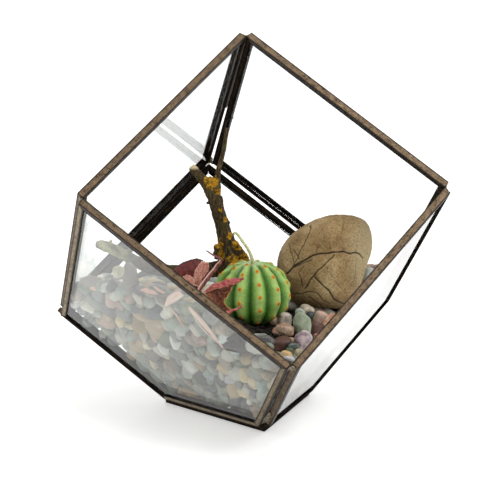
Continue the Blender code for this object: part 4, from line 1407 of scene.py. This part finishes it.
def makeLeaf(bm, row, edgeLayer, uvLayer, columns=30, lines=16):
    near, far = row["edges"]
    grid = bmesh.ops.create_grid(bm, x_segments=columns, y_segments=lines, size=1.0)["verts"]
    offset = Vector((row["seed"] * 17.0, 0, 0))
    middle = (edgePoint(near, 0.5) + edgePoint(far, 0.5)) / 2
    face = (edgePoint(near, 1.0) - edgePoint(near, 0.0)).cross(edgePoint(far, 0.5)
                                                              - edgePoint(near, 0.5)).normalized()
    if face.y > 0:
        face.negate()
    for vert in grid:
        u, v = (vert.co.x + 1) / 2, (vert.co.y + 1) / 2
        spot = edgePoint(near, u).lerp(edgePoint(far, u), v)
        arch = math.sin(math.pi * v) * (0.6 + 0.4 * math.sin(math.pi * u))
        spot += face * row["bulge"] * arch
        spot += row["crumple"] * noise.noise_vector(spot * 0.28 + offset)
        spot += face * row["crumple"] * 0.9 * noise.noise(spot * 0.7 + offset)
        border = max(abs(2 * v - 1), abs(2 * u - 1))
        torn = row["ragged"] * border ** 8 * (0.6 * noise.noise(spot * 1.3 + offset)
                                              + 0.7 * abs(noise.noise(spot * 0.55 + offset)))
        spot -= (spot - middle).normalized() * torn
        vert.co = spot * mm
        if row["dark"] == "end":
            vert[edgeLayer] = easeBetween(0.90, 0.99, v)
        else:
            vert[edgeLayer] = easeBetween(0.86, 1.0, border)
        for loop in vert.link_loops:
            loop[uvLayer].uv = (u, v)


def makeLeafPiece(name, rows, material, replaced, thickness=0.35):
    bm = bmesh.new()
    edgeLayer = bm.verts.layers.float.new("edge")
    uvLayer = bm.loops.layers.uv.new("leaf")
    for row in rows:
        makeLeaf(bm, leaves[row], edgeLayer, uvLayer)
    piece = makePiece(name, bm, material, replaced)
    wall = piece.modifiers.new("thickness", "SOLIDIFY")
    wall.thickness = thickness * mm
    wall.offset = 0.0
    return piece


def stemFinish():
    material, tree, shader = startMaterial("driedStem", roughness=0.5)
    place = objectPlace(tree)
    streak = noiseOf(tree, place, 800.0, 4.0, 0.6)
    side = addNode(tree, "ShaderNodeSeparateXYZ", {
        "Vector": addNode(tree, "ShaderNodeTexCoord").outputs["Normal"]}).outputs
    # the side facing up and left is painted pale: painted highlight
    litSideHighlight = stepOf(tree, mathOf(tree, "SUBTRACT", side["Z"], side["X"]), 0.55, 0.95)
    colour = rampOf(tree, streak, [(0.34, (0.030, 0.006, 0.006)), (0.50, (0.15, 0.022, 0.022)),
                                   (0.68, (0.42, 0.11, 0.09))])
    colour = mixOf(tree, mathOf(tree, "MULTIPLY", litSideHighlight, 0.85), colour, (0.70, 0.46, 0.36))
    colour = mixOf(tree, attributeOf(tree, "dark"), colour, (0.010, 0.006, 0.006))
    paint(tree, shader, colour)
    addBump(tree, shader, streak, 0.6, 0.0005)
    return material


def makeStem():
    bm = bmesh.new()
    dark = bm.verts.layers.float.new("dark")
    growTube(bm, [(-41.0, -74, 85.6, 1.35), (-37.6, -70.5, 89.2, 1.4), (-34.4, -68, 92.1, 1.4),
                  (-28.5, -63, 97.4, 1.25), (-26.4, -62.2, 99.6, 1.1), (-26.5, -61.9, 101.0, 0.9),
                  (-28.0, -61.5, 101.9, 0.7), (-30.9, -61.0, 103.7, 0.6), (-33.0, -60.2, 104.9, 0.5),
                  (-34.0, -60, 105.5, 0.3)], sides=12, steps=7, flat=0.7)
    for vert in bm.verts:
        vert[dark] = easeBetween(104.2, 105.2, vert.co.z / mm)
        vert.co += 0.0003 * noise.noise_vector(vert.co * 330)
    bmesh.ops.recalc_face_normals(bm, faces=bm.faces)
    makePiece("twisted_stem", bm, stemFinish(), ["dried_stem"])


darkLeaf = leafFinish("darkRedLeaf", [(0.30, (0.050, 0.006, 0.005)), (0.50, (0.125, 0.014, 0.010)),
                                      (0.70, (0.21, 0.030, 0.020))],
                      (0.055, 0.006, 0.005), (0.006, 0.004, 0.004), 0.35)
pinkLeaf = leafFinish("pinkLeaf", [(0.30, (0.33, 0.085, 0.065)), (0.50, (0.56, 0.24, 0.18)),
                                   (0.70, (0.72, 0.44, 0.31))],
                      (0.22, 0.030, 0.028), (0.74, 0.56, 0.40), 0.65)
rustLeaf = leafFinish("rustLeaf", [(0.30, (0.045, 0.014, 0.007)), (0.48, (0.16, 0.045, 0.018)),
                                   (0.64, (0.30, 0.105, 0.040)), (0.78, (0.42, 0.19, 0.08))],
                      (0.035, 0.012, 0.008), (0.55, 0.27, 0.10), 0.55)
redFold = leafFinish("redFold", [(0.30, (0.16, 0.020, 0.018)), (0.50, (0.46, 0.10, 0.085)),
                                 (0.70, (0.68, 0.30, 0.26))],
                     (0.10, 0.012, 0.012), (0.66, 0.30, 0.26), 0.4)
makeLeafPiece("broad_leaf", ["broad"], darkLeaf, ["dried_leaf_broad"])
makeLeafPiece("narrow_leaf", ["narrow", "tongue"], pinkLeaf, ["dried_leaf_narrow"])
makeLeafPiece("crumpled_leaf", ["crumpled"], rustLeaf, ["dried_leaf_crumpled"])
makeLeafPiece("crumpled_leaf_folds", ["topFold", "lowerTip"], redFold, [])
makeStem()
print("leaves made")


# straw and leaf scraps pressed against the inside of the front left glass

straw = {
    "behindGlass": 4.15,
    # name: (start, end) towards the front and the left, widths along it, bend
    "strips": {
        "straw_blade": (((124.5, 69.0), (108.3, 39.3)), (2.2, 4.2, 5.0, 4.2, 2.4, 0.4), 0.8),
        "straw_side": (((121.5, 66.5), (111.5, 45.0)), (0.5, 1.3, 1.5, 1.1, 0.3), -3.4),
        "leaf_scrap": (((104.6, 82.6), (133.0, 75.4)), (0.4, 2.2, 3.8, 4.4, 4.0, 3.2), 0.9),
        "thin_thread": (((108.5, 80.4), (99.0, 68.0)), (1.2, 1.8, 1.4, 0.4), 0.6),
        "pink_scrap": (((112.5, 88.8), (101.0, 99.5)), (1.2, 3.0, 3.6, 2.2, 0.4), -0.7),
        "pink_scrap_top": (((119.5, 84.5), (116.5, 92.0)), (0.6, 2.0, 2.4, 1.0), 0.5),
        "pale_thread": (((93.0, 99.0), (84.4, 96.4)), (0.5, 0.9, 0.8, 0.3), 0.7),
    },
}


def strawFinish():
    material, tree, shader = startMaterial("dryStraw", roughness=0.7)
    place = objectPlace(tree)
    along = addNode(tree, "ShaderNodeUVMap", uv_map="leaf").outputs["UV"]
    drawn = addNode(tree, "ShaderNodeMapping", {"Vector": along, "Scale": (2.0, 14.0, 1.0)})
    fibre = noiseOf(tree, drawn.outputs[0], 1.0, 4.0, 0.6)
    mottle = noiseOf(tree, place, 500.0, 4.0, 0.6)
    colour = rampOf(tree, fibre, [(0.32, (0.36, 0.22, 0.17)), (0.50, (0.62, 0.47, 0.38)),
                                  (0.66, (0.80, 0.69, 0.56))])
    pinkish = attributeOf(tree, "pinkish")
    colour = mixOf(tree, mathOf(tree, "MULTIPLY", pinkish, stepOf(tree, mottle, 0.3, 0.6)), colour,
                   (0.42, 0.15, 0.12))
    paint(tree, shader, colour)
    addBump(tree, shader, fibre, 0.5, 0.0005)
    return material


def makeStraw(name, material, replaced=()):
    (start, end), widths, bend = straw["strips"][name]
    start, end = Vector(start), Vector(end)
    run = (end - start).normalized()
    across = Vector((-run.y, run.x))
    bm = bmesh.new()
    uvLayer = bm.loops.layers.uv.new("leaf")
    pinkish = bm.verts.layers.float.new("pinkish")
    columns = 6 * (len(widths) - 1)
    made = bmesh.ops.create_grid(bm, x_segments=columns, y_segments=6, size=1.0)["verts"]
    for vert in made:
        u, v = (vert.co.x + 1) / 2, vert.co.y
        half = edgePoint([(width, 0, 0) for width in widths], u).x / 2 * 1.15
        spot = start.lerp(end, u) + across * (half * v + bend * math.sin(math.pi * u))
        ragged = 0.22 * noise.noise(Vector((spot.x, spot.y, 3.0)) * 0.8)
        depth = straw["behindGlass"] + 0.25 * v * v + 0.25 * noise.noise(spot.to_3d() * 0.4)
        vert.co = cubePlace(spot.x + ragged, spot.y, depth)
        vert[pinkish] = 0.75 if "pink" in name else 0.45 if "thread" in name else 0.15
        for loop in vert.link_loops:
            loop[uvLayer].uv = (u, (v + 1) / 2)
    piece = makePiece(name, bm, material, replaced)
    wall = piece.modifiers.new("thickness", "SOLIDIFY")
    wall.thickness = 0.3 * mm
    wall.offset = 0.0


strawMaterial = strawFinish()
standsFor = {"straw_blade": ["straw_long"], "leaf_scrap": ["straw_short"]}
for stripName in straw["strips"]:
    makeStraw(stripName, strawMaterial, standsFor.get(stripName, ()))
print("straw made")


# the larger pebbles on top at the front corner: place, half sizes, tilt, two colours, banding

cornerPebbles = {
    "round_grey_pebble": ((21.5, -59, 68.6), (5.0, 4.2, 4.2), (20, 0, 8), (0.36, 0.29, 0.21),
                          (0.60, 0.53, 0.42), 0.9, "pebble_round_grey"),
    "cream_pebble": ((4.5, -84, 65.2), (5.2, 3.8, 2.9), (0, 12, -25), (0.66, 0.52, 0.38),
                     (0.22, 0.09, 0.05), 0.8, "pebble_cream"),
    "green_pebble": ((14.6, -80, 66.0), (4.6, 4.4, 7.0), (8, -14, 20), (0.26, 0.31, 0.20),
                     (0.45, 0.50, 0.38), 0.8, "pebble_green"),
    "purple_pebble": ((11.6, -95.5, 61.4), (4.2, 4.4, 4.3), (0, 25, 35), (0.20, 0.13, 0.17),
                      (0.62, 0.50, 0.48), 0.7, "pebble_purple"),
    "rust_pebble": ((-0.8, -97, 60.0), (6.2, 4.4, 3.9), (0, -8, 12), (0.115, 0.035, 0.020),
                    (0.045, 0.030, 0.022), 0.8, "pebble_rust"),
    "spotted_pebble": ((7.4, -70.0, 67.0), (3.8, 3.2, 4.6), (0, 10, 0), (0.74, 0.66, 0.56),
                       (0.16, 0.08, 0.05), 0.75, ""),
    "leafy_tan_pebble": ((2.8, -66.0, 66.6), (4.0, 2.8, 2.8), (0, -18, 30), (0.40, 0.30, 0.18),
                         (0.60, 0.50, 0.36), 0.8, ""),
    "pale_green_pebble": ((15.6, -71.5, 69.2), (2.6, 2.8, 4.8), (0, -12, 0), (0.40, 0.43, 0.36),
                          (0.58, 0.60, 0.54), 0.6, ""),
    "navy_pebble": ((23.0, -64.0, 66.8), (2.6, 2.6, 3.6), (10, 12, 0), (0.020, 0.034, 0.040),
                    (0.06, 0.09, 0.10), 0.5, ""),
    "orange_pebble": ((32.8, -70.5, 65.0), (3.4, 3.4, 6.2), (0, 38, 10), (0.58, 0.17, 0.035),
                      (0.70, 0.56, 0.46), 0.95, ""),
    "pink_white_pebble": ((28.6, -66.5, 66.4), (4.8, 3.4, 4.4), (0, 30, 0), (0.62, 0.47, 0.38),
                          (0.50, 0.20, 0.08), 0.6, ""),
    "blue_white_pebble": ((36.4, -66.0, 66.6), (2.0, 2.0, 1.8), (0, 0, 20), (0.52, 0.58, 0.60),
                          (0.72, 0.74, 0.74), 0.6, ""),
    "brown_black_pebble": ((24.4, -75.5, 62.6), (4.6, 3.4, 3.4), (0, 28, 0), (0.16, 0.065, 0.045),
                           (0.022, 0.018, 0.016), 1.0, ""),
    "striped_pebble": ((0.8, -82.0, 63.6), (3.3, 3.0, 3.0), (0, -20, 0), (0.72, 0.55, 0.42),
                       (0.34, 0.15, 0.09), 1.0, ""),
    "white_slab_pebble": ((14.0, -91.5, 63.0), (3.6, 3.0, 2.4), (0, 32, 0), (0.72, 0.66, 0.60),
                          (0.40, 0.26, 0.26), 0.6, ""),
    "red_chip": ((21.6, -88.6, 61.2), (2.6, 2.0, 1.9), (0, 20, 0), (0.24, 0.050, 0.035),
                 (0.62, 0.32, 0.25), 0.9, ""),
    "dark_flat_pebble": ((-10.2, -101.5, 63.6), (5.6, 3.6, 3.0), (0, 14, 8), (0.055, 0.052, 0.050),
                         (0.19, 0.19, 0.18), 0.9, ""),
    "teal_chip": ((4.4, -103.5, 60.2), (3.0, 2.2, 1.8), (0, 0, 0), (0.045, 0.060, 0.050),
                  (0.20, 0.24, 0.20), 0.7, ""),
    "orange_wedge": ((-0.6, -110.0, 57.4), (3.3, 2.0, 2.1), (0, 24, 0), (0.66, 0.36, 0.05),
                     (0.74, 0.70, 0.62), 0.7, ""),
    "white_wedge": ((0.6, -110.4, 55.6), (3.4, 2.0, 1.7), (0, 24, 0), (0.72, 0.73, 0.72),
                    (0.50, 0.50, 0.48), 0.5, ""),
    "beige_chip": ((6.6, -108.5, 57.6), (2.4, 2.1, 2.5), (0, 0, 0), (0.42, 0.34, 0.17),
                   (0.70, 0.64, 0.50), 0.8, ""),
    "white_green_pebble": ((71.0, -12.6, 79.8), (4.4, 3.8, 4.2), (0, 0, 0), (0.62, 0.66, 0.60),
                           (0.22, 0.28, 0.22), 0.9, ""),
    "pink_brown_pebble": ((78.4, -3.6, 82.0), (3.2, 2.8, 1.9), (0, 8, 0), (0.46, 0.32, 0.25),
                          (0.20, 0.15, 0.12), 0.5, ""),
    "pale_leaf_pebble": ((-35.0, -66.0, 85.2), (2.7, 2.2, 2.0), (0, -20, 0), (0.62, 0.58, 0.42),
                         (0.46, 0.42, 0.30), 0.4, ""),
}


def makeCornerPebbles(material):
    loose = bmesh.new()
    for index, (name, row) in enumerate(cornerPebbles.items()):
        place, radii, tilt, tint, second, banded, node = row
        group = bmesh.new() if node else loose
        turn = Euler([math.radians(value) for value in tilt]).to_matrix()
        addPebble(group, Vector(place) * mm, [part * mm for part in radii], turn, tint, second,
                  banded, 0.07 + 0.037 * index, fineness=5 if node else 4, lumps=0.24)
        if node:
            makePiece(name, group, material, [node])
    makePiece("corner_pebbles", loose, material)


makeCornerPebbles(pebbleMaterial)
print("corner pebbles made")
